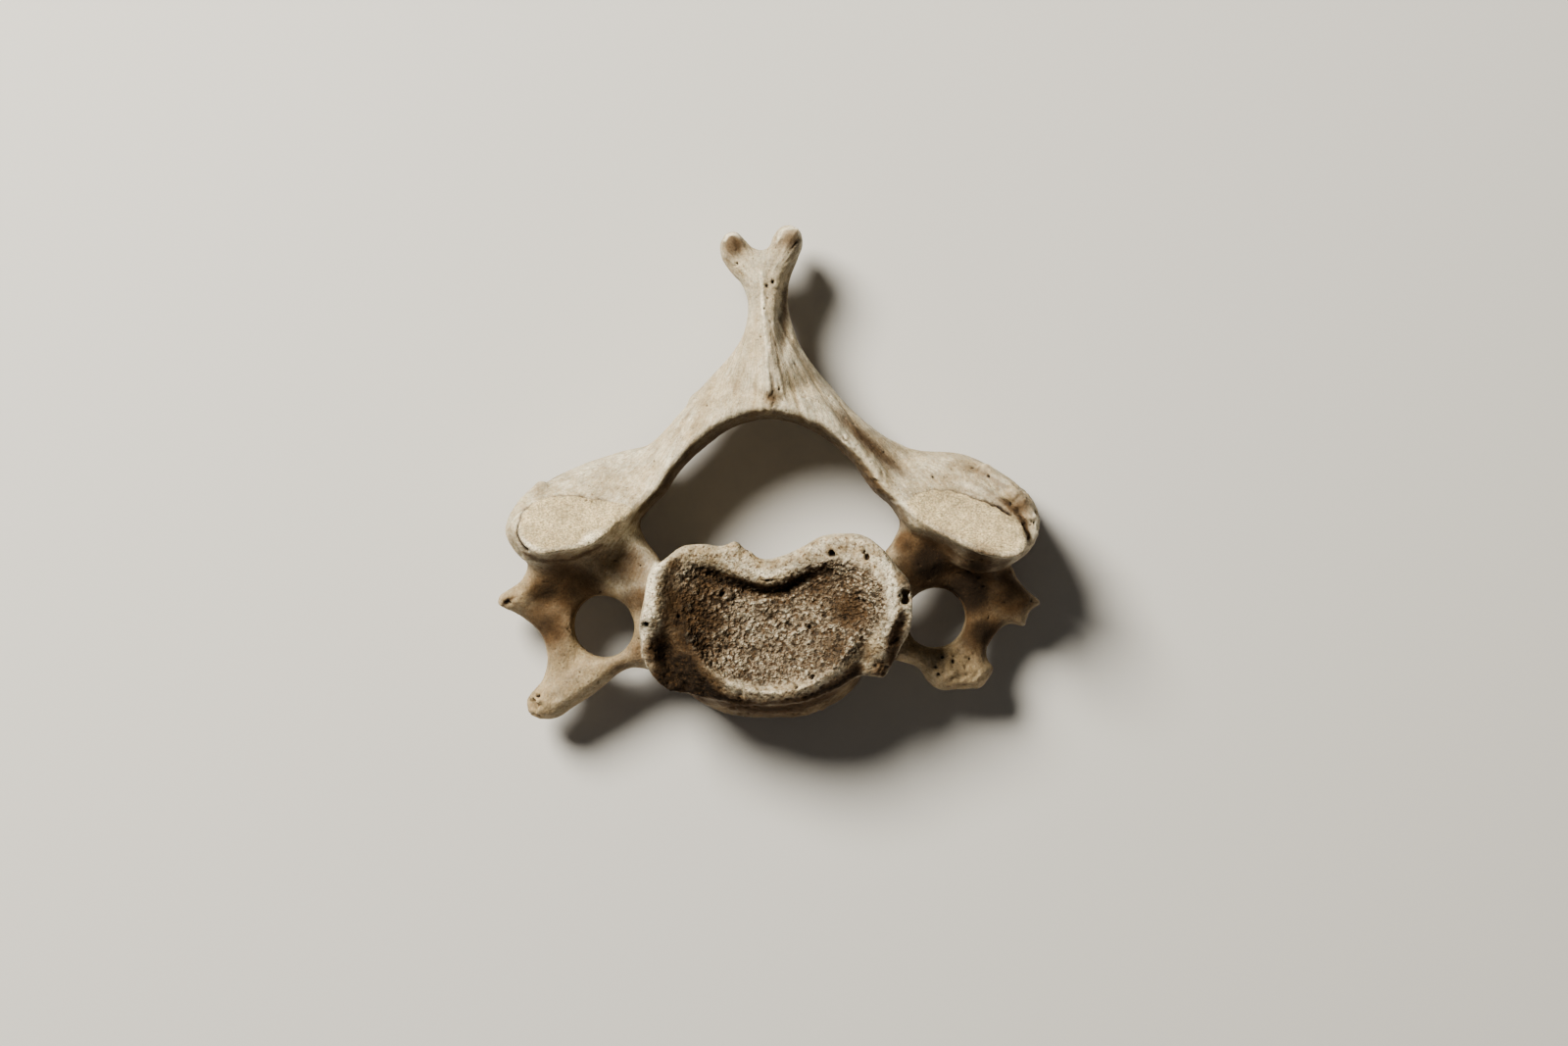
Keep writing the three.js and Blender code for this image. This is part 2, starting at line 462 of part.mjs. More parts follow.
// Turns the zero level of a field into quads with shared vertices.
function surfaceOf(field) {
  const low = [-HALF_SPAN.x - MARGIN, -HALF_SPAN.y - MARGIN, -MARGIN];
  const high = [HALF_SPAN.x + MARGIN, HALF_SPAN.y + MARGIN, TOP_LEVEL + MARGIN];
  const size = low.map((from, i) => Math.ceil((high[i] - from) / GRID) + 1);
  const indexOf = (i, j, k) => (k * size[1] + j) * size[0] + i;
  const samples = new Float64Array(size[0] * size[1] * size[2]);
  for (let k = 0; k < size[2]; k++) {
    for (let j = 0; j < size[1]; j++) {
      for (let i = 0; i < size[0]; i++) {
        samples[indexOf(i, j, k)] = field(low[0] + i * GRID, low[1] + j * GRID, low[2] + k * GRID);
      }
    }
  }

  const vertices = [];
  const vertexAt = new Map();
  for (let k = 0; k + 1 < size[2]; k++) {
    for (let j = 0; j + 1 < size[1]; j++) {
      for (let i = 0; i + 1 < size[0]; i++) {
        const values = CORNERS.map(([a, b, c]) => samples[indexOf(i + a, j + b, k + c)]);
        const insideCount = values.filter((v) => v < 0).length;
        if (insideCount === 0 || insideCount === 8) continue;
        const sums = new Map();
        sheetsOf(values).forEach((sheet, e) => {
          if (sheet < 0) return;
          const [a, b] = EDGES[e];
          const t = values[a] / (values[a] - values[b]);
          const sum = sums.get(sheet) ?? { point: new THREE.Vector3(), edges: [] };
          const crossing = new THREE.Vector3(...CORNERS[a]).lerp(new THREE.Vector3(...CORNERS[b]), t);
          sum.point.add(crossing);
          sum.edges.push(e);
          sums.set(sheet, sum);
        });
        for (const { point, edges } of sums.values()) {
          point.divideScalar(edges.length).add(new THREE.Vector3(i, j, k)).multiplyScalar(GRID);
          for (const e of edges) vertexAt.set(indexOf(i, j, k) * EDGES.length + e, vertices.length);
          vertices.push(point.add(new THREE.Vector3(...low)));
        }
      }
    }
  }

  const quads = [];
  const step = [1, size[0], size[0] * size[1]];
  for (let axis = 0; axis < 3; axis++) {
    const [u, v] = [(axis + 1) % 3, (axis + 2) % 3];
    for (let index = 0; index + step[axis] < samples.length; index++) {
      const startInside = samples[index] < 0;
      if (startInside === samples[index + step[axis]] < 0) continue;
      const round = [[0, 0], [1, 0], [1, 1], [0, 1]].map(([atU, atV]) => {
        const cell = index - (1 - atU) * step[u] - (1 - atV) * step[v];
        const corner = ((1 - atU) << u) | ((1 - atV) << v);
        const edge = EDGES.findIndex(([a, , edgeAxis]) => a === corner && edgeAxis === axis);
        return vertexAt.get(cell * EDGES.length + edge);
      });
      quads.push(startInside ? round : round.reverse());
    }
  }
  return { vertices, quads };
}

// Evens out the vertices along the surface and sets them back on the field's zero level.
function settleOnField(vertices, quads, field) {
  const neighbours = vertices.map(() => new Set());
  for (const quad of quads) {
    quad.forEach((a, i) => {
      const b = quad[(i + 1) % 4];
      neighbours[a].add(b);
      neighbours[b].add(a);
    });
  }
  const gap = 0.05;
  for (let round = 0; round < SETTLING_ROUNDS; round++) {
    const targets = vertices.map((vertex, i) => {
      const middle = new THREE.Vector3();
      for (const n of neighbours[i]) middle.add(vertices[n]);
      return vertex.clone().lerp(middle.divideScalar(neighbours[i].size), RELAXATION);
    });
    targets.forEach((p, i) => {
      const value = field(p.x, p.y, p.z);
      const slope = new THREE.Vector3(
        field(p.x + gap, p.y, p.z) - value,
        field(p.x, p.y + gap, p.z) - value,
        field(p.x, p.y, p.z + gap) - value,
      ).divideScalar(gap);
      const shift = THREE.MathUtils.clamp(value / Math.max(slope.lengthSq(), 0.1), -GRID / 2, GRID / 2);
      vertices[i].copy(p).addScaledVector(slope, -shift);
    });
  }
}

// Splits each quad along the diagonal whose middle lies closer to the surface.
function triangulate(vertices, quads, field) {
  const offSurface = (a, b) => {
    const middle = vertices[a].clone().lerp(vertices[b], 0.5);
    return Math.abs(field(middle.x, middle.y, middle.z));
  };
  return quads.flatMap(([a, b, c, d]) =>
    offSurface(a, c) < offSurface(b, d) ? [a, b, c, a, c, d] : [a, b, d, b, c, d],
  );
}

const wasm = await Module();
wasm.setup();

function solidOf(positions, triangles) {
  return new wasm.Manifold(
    new wasm.Mesh({
      numProp: 3,
      vertProperties: new Float32Array(positions),
      triVerts: new Uint32Array(triangles),
    }),
  );
}

// The table, as a block whose top is the plane the bone rests on.
function tableSolid() {
  const thickness = 10;
  const box = new THREE.BoxGeometry(80, 80, thickness).translate(0, 0, -thickness / 2);
  const corners = [];
  const triangles = [];
  const seen = new Map();
  const position = box.getAttribute("position");
  for (let n = 0; n < box.index.count; n++) {
    const i = box.index.getX(n);
    const key = [position.getX(i), position.getY(i), position.getZ(i)].join();
    if (!seen.has(key)) {
      seen.set(key, seen.size);
      corners.push(position.getX(i), position.getY(i), position.getZ(i));
    }
    triangles.push(seen.get(key));
  }
  return solidOf(corners, triangles);
}

function vertebra() {
  const field = boneField();
  const { vertices, quads } = surfaceOf(field);
  settleOnField(vertices, quads, field);
  const bone = solidOf(vertices.flatMap((v) => v.toArray()), triangulate(vertices, quads, field));
  const worn = bone.subtract(tableSolid()).getMesh();
  const geometry = new THREE.BufferGeometry();
  geometry.setAttribute("position", new THREE.BufferAttribute(worn.vertProperties, worn.numProp));
  geometry.setIndex(new THREE.BufferAttribute(worn.triVerts, 1));
  geometry.computeVertexNormals();
  const boneMaterial = new THREE.MeshStandardMaterial({
    color: 0xd8cbb0, roughness: 0.75, metalness: 0,
  });
  const mesh = new THREE.Mesh(geometry, boneMaterial);
  mesh.name = "vertebra";
  return mesh;
}

const group = new THREE.Group();
group.add(vertebra());

export default group;
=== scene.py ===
# A neck vertebra of dry, slightly damaged bone, lying on its underside on a pale table.
# The bone is one distance field in millimetres: each region is a slab with an outline seen from
# above, a roof of ridges and planes, and a floor. Chips are cut out of the field. It is then turned
# into a fine mesh, and pits, cracks and grain are worked into the mesh's surface.

import itertools

import bpy
import numpy as np
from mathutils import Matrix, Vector


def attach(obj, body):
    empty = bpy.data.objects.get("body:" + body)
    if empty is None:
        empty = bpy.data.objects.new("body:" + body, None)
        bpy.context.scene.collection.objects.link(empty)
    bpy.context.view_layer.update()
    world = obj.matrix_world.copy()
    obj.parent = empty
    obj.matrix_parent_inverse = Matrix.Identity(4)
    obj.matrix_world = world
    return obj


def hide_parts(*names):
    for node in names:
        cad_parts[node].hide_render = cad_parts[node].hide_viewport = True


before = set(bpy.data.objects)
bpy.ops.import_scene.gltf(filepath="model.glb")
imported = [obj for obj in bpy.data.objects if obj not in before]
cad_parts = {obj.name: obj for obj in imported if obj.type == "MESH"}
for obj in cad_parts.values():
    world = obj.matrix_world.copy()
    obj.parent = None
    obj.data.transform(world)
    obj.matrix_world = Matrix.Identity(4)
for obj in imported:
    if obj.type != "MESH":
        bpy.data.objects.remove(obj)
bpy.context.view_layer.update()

MM = 0.001
FAR = 1e9

# The mesh
GRID = 0.16
HALF_SPAN_X = 28.0
HALF_SPAN_Y = 26.2
LEVELS = (-1.0, 18.0)
MOST_TRIANGLES = 196000

# How softly the regions, their edges and the parts of a region run into each other
BLEND = 1.7
EDGE_ROUNDING = 1.6
STEEPNESS = 1.35
RIM_BLEND = 0.9
RIDGE_BLEND = 0.6
FLOOR_BLEND = 1.0
HOLLOW_BLEND = 0.8
CHIP_BLEND = 0.25

# The body, seen from above: its upper rim and its smaller lower rim
UPPER_RIM = [
    (-11.8, -9.6), (-10.2, -8.2), (-8.6, -7.1), (-6.6, -6.8), (-4.9, -7), (-3.4, -6.7), (-2, -7.4),
    (-0.6, -8.2), (1.2, -7.9), (3.2, -7.1), (5, -6.1), (7.3, -5.8), (9.2, -6.1), (10.9, -7.2),
    (12.6, -9.2), (13.9, -11), (13.9, -14.9), (13.1, -17.4), (12.3, -19.9), (11.2, -20.6), (9.3, -20.2),
    (6.5, -21.5), (2.5, -22.8), (-1.5, -23), (-5.5, -22.7), (-9.2, -22.2), (-10.9, -21.5),
    (-12.3, -19.3), (-12.9, -15.6), (-12.4, -12.2),
]
LOWER_RIM = [
    (-8.8, -9.8), (-4.5, -8.9), (0, -8.7), (4.5, -8.9), (9, -9.7), (10.4, -12.8), (10.2, -17.5),
    (8.2, -21.6), (4.2, -23.9), (0, -24.3), (-4.4, -23.9), (-8, -22), (-9.8, -18), (-10.1, -12.8),
]
FLANK_LEVELS = (4, 13.5)
FLANK_WAIST = 0.6

# Ridges are rows of (x, y, height, half-width of the flat crest, slope beside it)
BODY_RIM_RIDGE = [
    (-10.2, -20.9, 11.7, 0.5, 0.8), (-11.6, -19.2, 13.1, 0.3, 1), (-12.1, -17.2, 14.2, 0.2, 1.3),
    (-11.9, -15.4, 15, 0.2, 1.4), (-11.3, -13.6, 15.8, 0.2, 1.4), (-11.15, -11.4, 16.1, 0.2, 1.5),
    (-10.95, -9.7, 15.9, 0.3, 1.5), (-10, -8.7, 15.2, 0.4, 1.5), (-8.4, -8, 14.6, 0.5, 1.5),
    (-6.3, -8, 14.2, 0.6, 1.6), (-4.4, -8.4, 13.9, 0.7, 1.7), (-2.6, -9.2, 13.8, 0.9, 2.2),
    (-0.8, -9.7, 13.7, 0.9, 2.6), (0.8, -9.5, 13.7, 0.9, 2.6), (2.5, -8.7, 13.9, 0.8, 2.2),
    (4.6, -7.7, 14.3, 0.9, 1.6), (6.4, -7.3, 14.8, 1.1, 1.1), (8.4, -7.5, 15.1, 1.2, 0.8),
    (10.4, -8.7, 15.8, 1, 0.7), (11.6, -10.4, 16.2, 0.8, 0.7), (12.2, -12.4, 16.2, 0.6, 0.9),
    (11.9, -14.4, 15.5, 0.5, 0.9), (11.1, -16.4, 14.4, 0.5, 0.9), (10.3, -18.2, 13.3, 0.5, 0.9),
    (10, -19.8, 12.4, 0.5, 0.9),
]
ENDPLATE = dict(middle=(0.6, -13.4), level=12.1, across=0.024, along=0.018)
# The bowl is deepest along a line (x, y, depth, half-width) in front of the back lip
TROUGH = [
    (-7.4, -9.9, 0.1, 0.5), (-5.2, -10, 0.35, 0.6), (-2.6, -11, 0.5, 0.6), (-0.2, -11.5, 0.6, 0.6),
    (2.2, -10.8, 0.5, 0.6), (4.6, -9.5, 0.3, 0.6), (6.6, -9, 0.1, 0.5),
]
# The granular part of the upper face
POROUS = [
    (-9.2, -9.4), (-7.6, -8.9), (-5.6, -9.2), (-4.2, -10.2), (-2.2, -10.8), (-0.3, -11.2), (1.1, -10.5),
    (3.1, -9.4), (4.9, -8.6), (6.7, -8.4), (8.7, -8.8), (10.4, -10), (11.4, -11.8), (11.3, -13.8),
    (10.2, -15.7), (9, -17.3), (7.3, -18.6), (5.2, -19.8), (2.6, -20.6), (-1.2, -20.8), (-4, -20.2),
    (-6, -19), (-7.4, -17.6), (-8.3, -15.9), (-8.6, -13.4), (-8.9, -11),
]
RING = dict(middle=(0.1, -14.4), rx=8.2, ry=7.1, height=0.75, width=0.07, fade=(0.5, -3))
BEVEL = dict(drop=4.4, start=1.05, end=1.5)
BODY_FLOOR = dict(back=2.6, back_at=-8.7, hollow=3.7, hollow_at=-15.5, lip=-0.35, lip_at=-23.2,
                  curl=0.018)

CANAL = [
    (-12.9, -5.1), (-12.3, -3.8), (-10.5, -2), (-8.9, 0.3), (-6.6, 2.6), (-3.6, 4.6), (-0.5, 5.4),
    (2.6, 4.9), (5.7, 3.4), (8.3, 1.1), (10.3, -1.6), (12.2, -3.5), (12.7, -5.1), (11.9, -7),
    (9.5, -8.9), (4.5, -9.4), (0, -9.5), (-4.5, -9.4), (-9.2, -9), (-12, -7.1),
]
CANAL_FLARE = dict(widest=0.5, z=(6, 12), y=(-4.5, -1), rounding=1.7)

# The arch: two laminae that meet in the forked spine
ARCH = [
    (-24, -5), (-24.6, -2.7), (-22.4, -0.7), (-19.7, 0.5), (-16.2, 1.7), (-12.8, 2.8), (-10.5, 4.5),
    (-8.5, 6.8), (-8, 7.8), (-6.6, 9.1), (-4.3, 11.6), (-2.8, 13.8), (-2.3, 15.4), (-2.2, 17.2),
    (-2.8, 19.1), (-3.9, 20.3), (-4.8, 21.8), (-4.9, 23.2), (-4.3, 24.1), (-3.4, 24.3), (-2.6, 23.6),
    (-1.8, 22.8), (-0.8, 22.5), (-0.1, 22.9), (0.3, 23.9), (1, 24.7), (2, 25), (2.9, 24.4), (3.3, 23.2),
    (2.8, 21.6), (2.1, 20), (1.8, 18.5), (1.9, 16.1), (2.8, 13.4), (4.3, 11.1), (6.2, 8.8), (8.2, 6.5),
    (11, 4.2), (13.2, 3.2), (16.4, 2.4), (19.6, 2.2), (21.8, 1.2), (24.1, -0.4), (25.9, -2.2),
    (26.3, -4.4), (24, -6), (16, -4.5), (8, -3), (-8, -3), (-16, -4.5),
]
ARCH_RIDGES = [
    [
        (-13.6, -3.2, 11.4, 0.3, 1.1), (-12.1, -2.7, 11.5, 0.3, 1.2), (-10.7, -1, 11.7, 0.3, 1.4),
        (-9.3, 1, 11.9, 0.3, 1.6), (-7.1, 3.5, 12.1, 0.3, 1.5), (-3.9, 5.6, 12.5, 0.3, 1.3),
        (-0.4, 6.4, 12.8, 0.3, 1.2),
    ],
    [
        (14.1, -3.6, 11.7, 0.3, 1.1), (12.5, -2.6, 11.6, 0.3, 1.3), (11.1, -1.3, 11.6, 0.3, 1.5),
        (9.6, 1, 11.9, 0.3, 1.6), (6.3, 4.1, 12.2, 0.3, 1.5), (3.1, 5.9, 12.6, 0.3, 1.3),
        (-0.4, 6.4, 12.8, 0.3, 1.2),
    ],
    [
        (-0.1, 7, 12.8, 0.3, 1.1), (-0.25, 9.5, 12.5, 0.3, 1), (-0.45, 12, 11.8, 0.4, 0.9),
        (-0.65, 15, 10.9, 0.6, 0.8), (-0.75, 18, 10.1, 0.9, 0.7), (-0.8, 20.3, 9.6, 1.5, 0.7),
    ],
    [(-1.4, 20, 9.4, 1, 0.8), (-3.2, 22.1, 9.2, 0.9, 0.9), (-3.7, 23.1, 9.2, 0.9, 0.9)],
    [(-0.2, 20, 9.5, 1, 0.8), (1.4, 22.2, 9.6, 0.8, 0.9), (1.9, 23.6, 9.5, 0.8, 0.9)],
]
# Ribs and grooves are rows of (x, y, height or depth, half-width)
ARCH_RIBS = [
    [(-0.2, 11.2, 0.05, 0.3), (-0.45, 13.4, 0.2, 0.28), (-0.6, 15.7, 0.22, 0.28),
     (-0.75, 17.7, 0.22, 0.28), (-1, 20, 0.1, 0.35)],
    [(0.35, 11.3, 0.1, 0.3), (1.3, 9.1, 0.2, 0.3), (2.4, 8, 0.15, 0.3), (3.7, 7.1, 0.1, 0.35)],
    [(1.5, 11.2, 0.05, 0.3), (3.2, 9, 0.12, 0.3), (5.4, 6.6, 0.12, 0.35), (7, 5, 0.05, 0.4)],
    [(-0.6, 11, 0.05, 0.3), (-1.8, 9.3, 0.15, 0.3), (-3.1, 7.4, 0.18, 0.3), (-4.3, 6.3, 0.1, 0.3)],
    [(-1.4, 11.8, 0.05, 0.3), (-3.6, 9, 0.1, 0.35), (-6, 6, 0.1, 0.4)],
]
ARCH_GROOVES = [
    [(0.1, 7.6, 0.45, 0.5), (0.35, 8.3, 0.3, 0.35), (0.2, 9.7, 0.25, 0.25), (0.2, 11.2, 0.15, 0.22),
     (0.2, 12.4, 0.05, 0.2)],
    [(5.6, 7, 0.1, 0.7), (8, 4.8, 0.5, 0.9), (10.4, 2.6, 0.8, 1), (12.6, 0.8, 0.7, 1.1),
     (14.6, -0.4, 0.3, 1)],
]
# Hollows are chains of balls of (x, y, z, radius), cut away
NECK_HOLLOW = [
    (3, 20.2, 8.4, 0.8), (2.8, 19.2, 8.6, 1.2), (2.4, 17.9, 8.9, 1.35), (2.1, 16, 9.5, 1.35),
    (1.9, 14.4, 10.2, 1.1), (1.6, 12.8, 11, 0.8), (1.35, 11.2, 11.8, 0.4),
]
LAMINA_FLOOR = dict(outer=2.7, rise=0.85, highest=6.4)
SPINE_FLOOR = dict(y=(9, 15), level=4.4, tip_y=(17, 24), tip_drop=1)

# A pillar's groove is a row of (x, y, depth, half-width), its rim a chain of (x, y, z, radius)
LEFT_PILLAR = dict(
    outline=[
        (-26.3, -5.8), (-25.8, -3.9), (-24.6, -2.4), (-22.4, -0.7), (-19.7, 0.4), (-16.6, 1.4),
        (-13.6, 2.1), (-11.8, 0.6), (-11.4, -3.6), (-14.6, -6.4), (-17.4, -7.9), (-20.2, -8.9),
        (-22.8, -9.1), (-25, -8.2),
    ],
    facet=[
        (-24.9, -5), (-24, -3.1), (-22.2, -2.2), (-19.6, -2), (-16.9, -2.4), (-14.6, -2.8),
        (-13.6, -3.5), (-14.8, -4.6), (-16.2, -6.1), (-18, -7.2), (-20.8, -7.7), (-22.6, -7.9),
        (-24.1, -7.1), (-24.8, -6.2),
    ],
    plane=dict(x=-19.3, y=-5, z=13.6, along_x=-0.06, along_y=-1.12),
    back=dict(y=-2.1, level=10.3, slope=-0.8),
    groove=[(-24.6, -2.6, 0.2, 0.4), (-23, -1.4, 0.25, 0.5), (-20.6, -1.1, 0.2, 0.6)],
    rim=[(-25.4, -4.6, 10.5, 0.5), (-24.5, -2.9, 9.9, 0.6), (-22.8, -1.3, 8.8, 0.6)],
)
RIGHT_PILLAR = dict(
    outline=[
        (26.8, -5), (26.3, -2.7), (24.1, -0.5), (21.6, 1.1), (18.5, 1.9), (14.4, 1.5), (11.8, -0.6),
        (11.5, -3.8), (13.8, -5.4), (16.4, -6.8), (18.2, -8.7), (20.6, -9.6), (23.4, -9.2),
        (25.8, -7.6),
    ],
    facet=[
        (13.5, -2.8), (14.8, -1.7), (17, -1.4), (19.4, -1.8), (21.7, -2.7), (23.6, -3.7), (24.8, -4.9),
        (25.4, -6.5), (24.9, -7.8), (23.2, -8.3), (20.7, -7.8), (18.4, -6.7), (16, -5.5), (14.3, -4.2),
    ],
    plane=dict(x=19.5, y=-5, z=13.5, along_x=0.04, along_y=-1.08),
    back=dict(y=-1.6, level=9.9, slope=-0.55),
    groove=[
        (16.6, -0.7, 0.15, 0.6), (19.2, -1, 0.4, 0.6), (21.6, -1.8, 0.6, 0.6), (23.4, -2.9, 0.9, 0.5),
        (24.6, -4, 1.2, 0.5), (25.3, -5.2, 1.2, 0.45), (25.6, -6.4, 0.9, 0.4),
    ],
    rim=[
        (21.4, 0.2, 8.8, 0.9), (23.3, -1.2, 9.9, 0.85), (24.9, -2.7, 11.1, 0.75),
        (25.9, -4.2, 11.8, 0.6), (26.2, -5.6, 11.9, 0.5), (25.9, -6.7, 11.7, 0.45),
    ],
)
FACET = dict(proud=0.5, thick=2.4, rounding=0.85, blend=0.4)
PILLAR_NECK = dict(z=(9.5, 14.5), inset=0.3)
PILLAR_FLOOR = dict(lowest=-0.35, y=-1.4, slope=-1.05)

LEFT_TRANSVERSE = dict(
    outline=[
        (-10.4, -9), (-10.8, -6.6), (-12, -4.4), (-18, -4.8), (-22.4, -7), (-24, -8.7), (-24.5, -9.8),
        (-25.2, -10.8), (-27, -12), (-27.2, -13.1), (-25.8, -13.8), (-24.4, -14.8), (-23.1, -16),
        (-22.5, -17.4), (-22.4, -18.8), (-22.9, -20.5), (-24.2, -22), (-24.5, -23.2), (-23.7, -24.4),
        (-21.5, -24.5), (-19.7, -23.4), (-17.8, -22.2), (-16.4, -21), (-15, -19.9), (-13.6, -19.4),
        (-11.8, -19.6), (-9.8, -18.6), (-9, -13),
    ],
    hole=dict(x=-16.65, y=-15.15, rx=3.05, ry=3.1),
    ridges=[
        [(-9, -11.5, 11.8, 1.6, 0.6), (-12.6, -9.2, 10.6, 1.5, 0.6), (-16.4, -7.4, 10.2, 1.4, 0.7)],
        [(-21.6, -9.2, 9.2, 0.8, 0.7), (-24, -10.6, 8.3, 0.5, 0.8), (-26.2, -12.6, 7.2, 0.4, 0.8)],
        [(-20.8, -13, 7.2, 0.6, 0.5), (-20.9, -18, 7.6, 0.6, 0.6)],
        [
            (-10.6, -16.6, 8.6, 0.8, 0.8), (-15, -18.4, 8.2, 0.5, 0.9), (-18.6, -20.2, 7.9, 0.7, 0.8),
            (-21.4, -21.9, 7.6, 0.8, 0.8), (-23, -22.8, 7, 0.7, 0.9),
        ],
    ],
)
RIGHT_TRANSVERSE = dict(
    outline=[
        (10.2, -9.2), (10.8, -6.8), (12, -4.6), (18, -5), (22.4, -7.4), (24.2, -9.2), (24.8, -10.4),
        (25.8, -11.6), (27.2, -12.8), (26.2, -13.5), (25.9, -14.4), (25.6, -15.3), (24.2, -15.1),
        (23.2, -15.5), (22.3, -16.5), (21.7, -17.6), (21.9, -18.6), (22.4, -19.5), (21.2, -21.2),
        (19.4, -21.5), (17.2, -21.6), (15.8, -20.8), (14.8, -19.4), (13.6, -18.9), (11.8, -18.6),
        (10, -18), (9.4, -13),
    ],
    hole=dict(x=16.55, y=-14.3, rx=3.05, ry=3.05),
    ridges=[
        [(9, -11.5, 11.6, 1.4, 0.7), (12.6, -9, 9.8, 1.2, 0.8), (16.4, -7.2, 8.8, 1.2, 0.8)],
        [(21.6, -9.4, 8.9, 0.8, 0.7), (24.2, -11, 8, 0.5, 0.8), (26.2, -12.7, 7.2, 0.4, 0.8)],
        [(20.4, -13, 7, 0.5, 0.5), (20.3, -17.4, 7.4, 0.5, 0.6)],
        [
            (11.4, -16.2, 8.6, 0.7, 0.8), (15.2, -18.2, 8.2, 0.5, 0.9), (18.4, -19.4, 7.8, 1, 0.7),
            (20.6, -19.8, 7.4, 0.9, 0.8),
        ],
    ],
)
# Places seen from above. Pits are rows of (x, y, radius, depth)
PITS = [
    (6.1, -7.9, 0.3, 0.9), (9.3, -7.6, 0.2, 0.5), (9.6, -8.1, 0.25, 0.6), (-12.3, -14.9, 0.28, 0.6),
    (-12.9, -9, 0.14, 0.4), (12.9, -11.9, 0.16, 0.5), (-0.1, -10.5, 0.2, 0.35), (-3.4, 21, 0.2, 0.3),
    (0.35, 19.2, 0.2, 0.4), (-0.3, 18.8, 0.18, 0.3), (-0.6, 16.5, 0.14, 0.3), (-0.9, 13.7, 0.14, 0.3),
    (-0.45, 14.7, 0.1, 0.25), (0.2, 15.2, 0.12, 0.25), (-0.2, 17.6, 0.12, 0.25), (-6.3, 6.9, 0.12, 0.3),
    (21.7, -0.15, 0.22, 0.45), (16.3, -0.2, 0.2, 0.25), (-18.2, -2.5, 0.16, 0.3),
    (-17.7, -2.6, 0.12, 0.25), (-14.3, -1.2, 0.1, 0.3), (-11.6, 1.4, 0.12, 0.3), (1.4, 7.4, 0.14, 0.35),
    (0.9, 8.6, 0.12, 0.3), (-4.6, -11.9, 0.24, 0.5), (5.4, -14, 0.2, 0.35), (3.9, -15.1, 0.22, 0.4),
    (4.2, -19.9, 0.24, 0.5), (-8.9, -14, 0.22, 0.4), (2.6, -20.9, 0.22, 0.4), (-26.4, -12.8, 0.25, 0.4),
    (-23.3, -22.1, 0.2, 0.4), (18.3, -18.6, 0.18, 0.35), (17.3, -18.2, 0.12, 0.3),
    (19.9, -18.4, 0.12, 0.3), (-19, -19.7, 0.12, 0.3), (-13.7, -9.7, 0.13, 0.3),
    (-16.9, -11.7, 0.12, 0.3),
]
# Lumps are rows of (x, y, radius, height)
LUMPS = [
    (-3.45, -6.9, 0.7, 0.35), (-1.9, -7.9, 0.5, 0.2), (24.1, -1.9, 0.5, 0.3), (25.1, -2.8, 0.4, 0.35),
    (22.9, -0.9, 0.6, 0.2), (26, -4.2, 0.4, 0.25), (24.4, -3, 0.3, 0.25), (23.2, -1.9, 0.35, 0.2),
    (-22.9, -1.6, 0.9, 0.1), (-4, -11.8, 0.45, 0.4), (2.3, 24, 0.6, 0.25), (-4.1, 23.3, 0.7, 0.15),
    (-23.05, -22.6, 0.3, 0.5),
]
# Cracks and scored lines are rows of (x, y, depth, half-width)
CRACKS = [
    [(-22.2, -2.15, 0.08, 0.16), (-23.7, -2.85, 0.14, 0.16), (-24.6, -3.8, 0.2, 0.16),
     (-25.05, -5.1, 0.25, 0.18), (-24.9, -6.4, 0.35, 0.2), (-24.1, -7.5, 0.35, 0.2)],
    [(-22.2, -2.15, 0.14, 0.14), (-20.6, -2, 0.15, 0.14), (-18.8, -2.05, 0.16, 0.15),
     (-17.4, -2.35, 0.14, 0.15), (-15.6, -2.6, 0.12, 0.15), (-14.2, -2.9, 0.06, 0.15)],
    [(-25.6, -5.8, 0.05, 0.2), (-25.5, -6.8, 0.1, 0.2), (-24.7, -8.1, 0.15, 0.2)],
    [(13.7, -2.4, 0.1, 0.14), (15.1, -1.7, 0.15, 0.14), (16.9, -1.45, 0.15, 0.14),
     (18.5, -1.6, 0.15, 0.14), (20.3, -2.15, 0.18, 0.15), (22.3, -2.9, 0.24, 0.16),
     (23.8, -3.8, 0.24, 0.16)],
    [(12.1, -6.6, 0.5, 0.12), (11.6, -6, 0.6, 0.14), (11, -5.3, 0.5, 0.12)],
    [(-0.9, -10.5, 0.2, 0.12), (0.6, -10.5, 0.2, 0.12)],
    [(7, 4, 0.2, 0.14), (7.5, 3.5, 0.3, 0.14), (8.2, 3, 0.15, 0.12)],
    [(-26.7, -12.8, 0.3, 0.18), (-26.1, -12.4, 0.2, 0.18), (-25.2, -12.1, 0.05, 0.2)],
    [(-25.7, -11.3, 0.12, 0.18), (-25, -11, 0.1, 0.18), (-24.2, -10.5, 0.04, 0.2)],
]
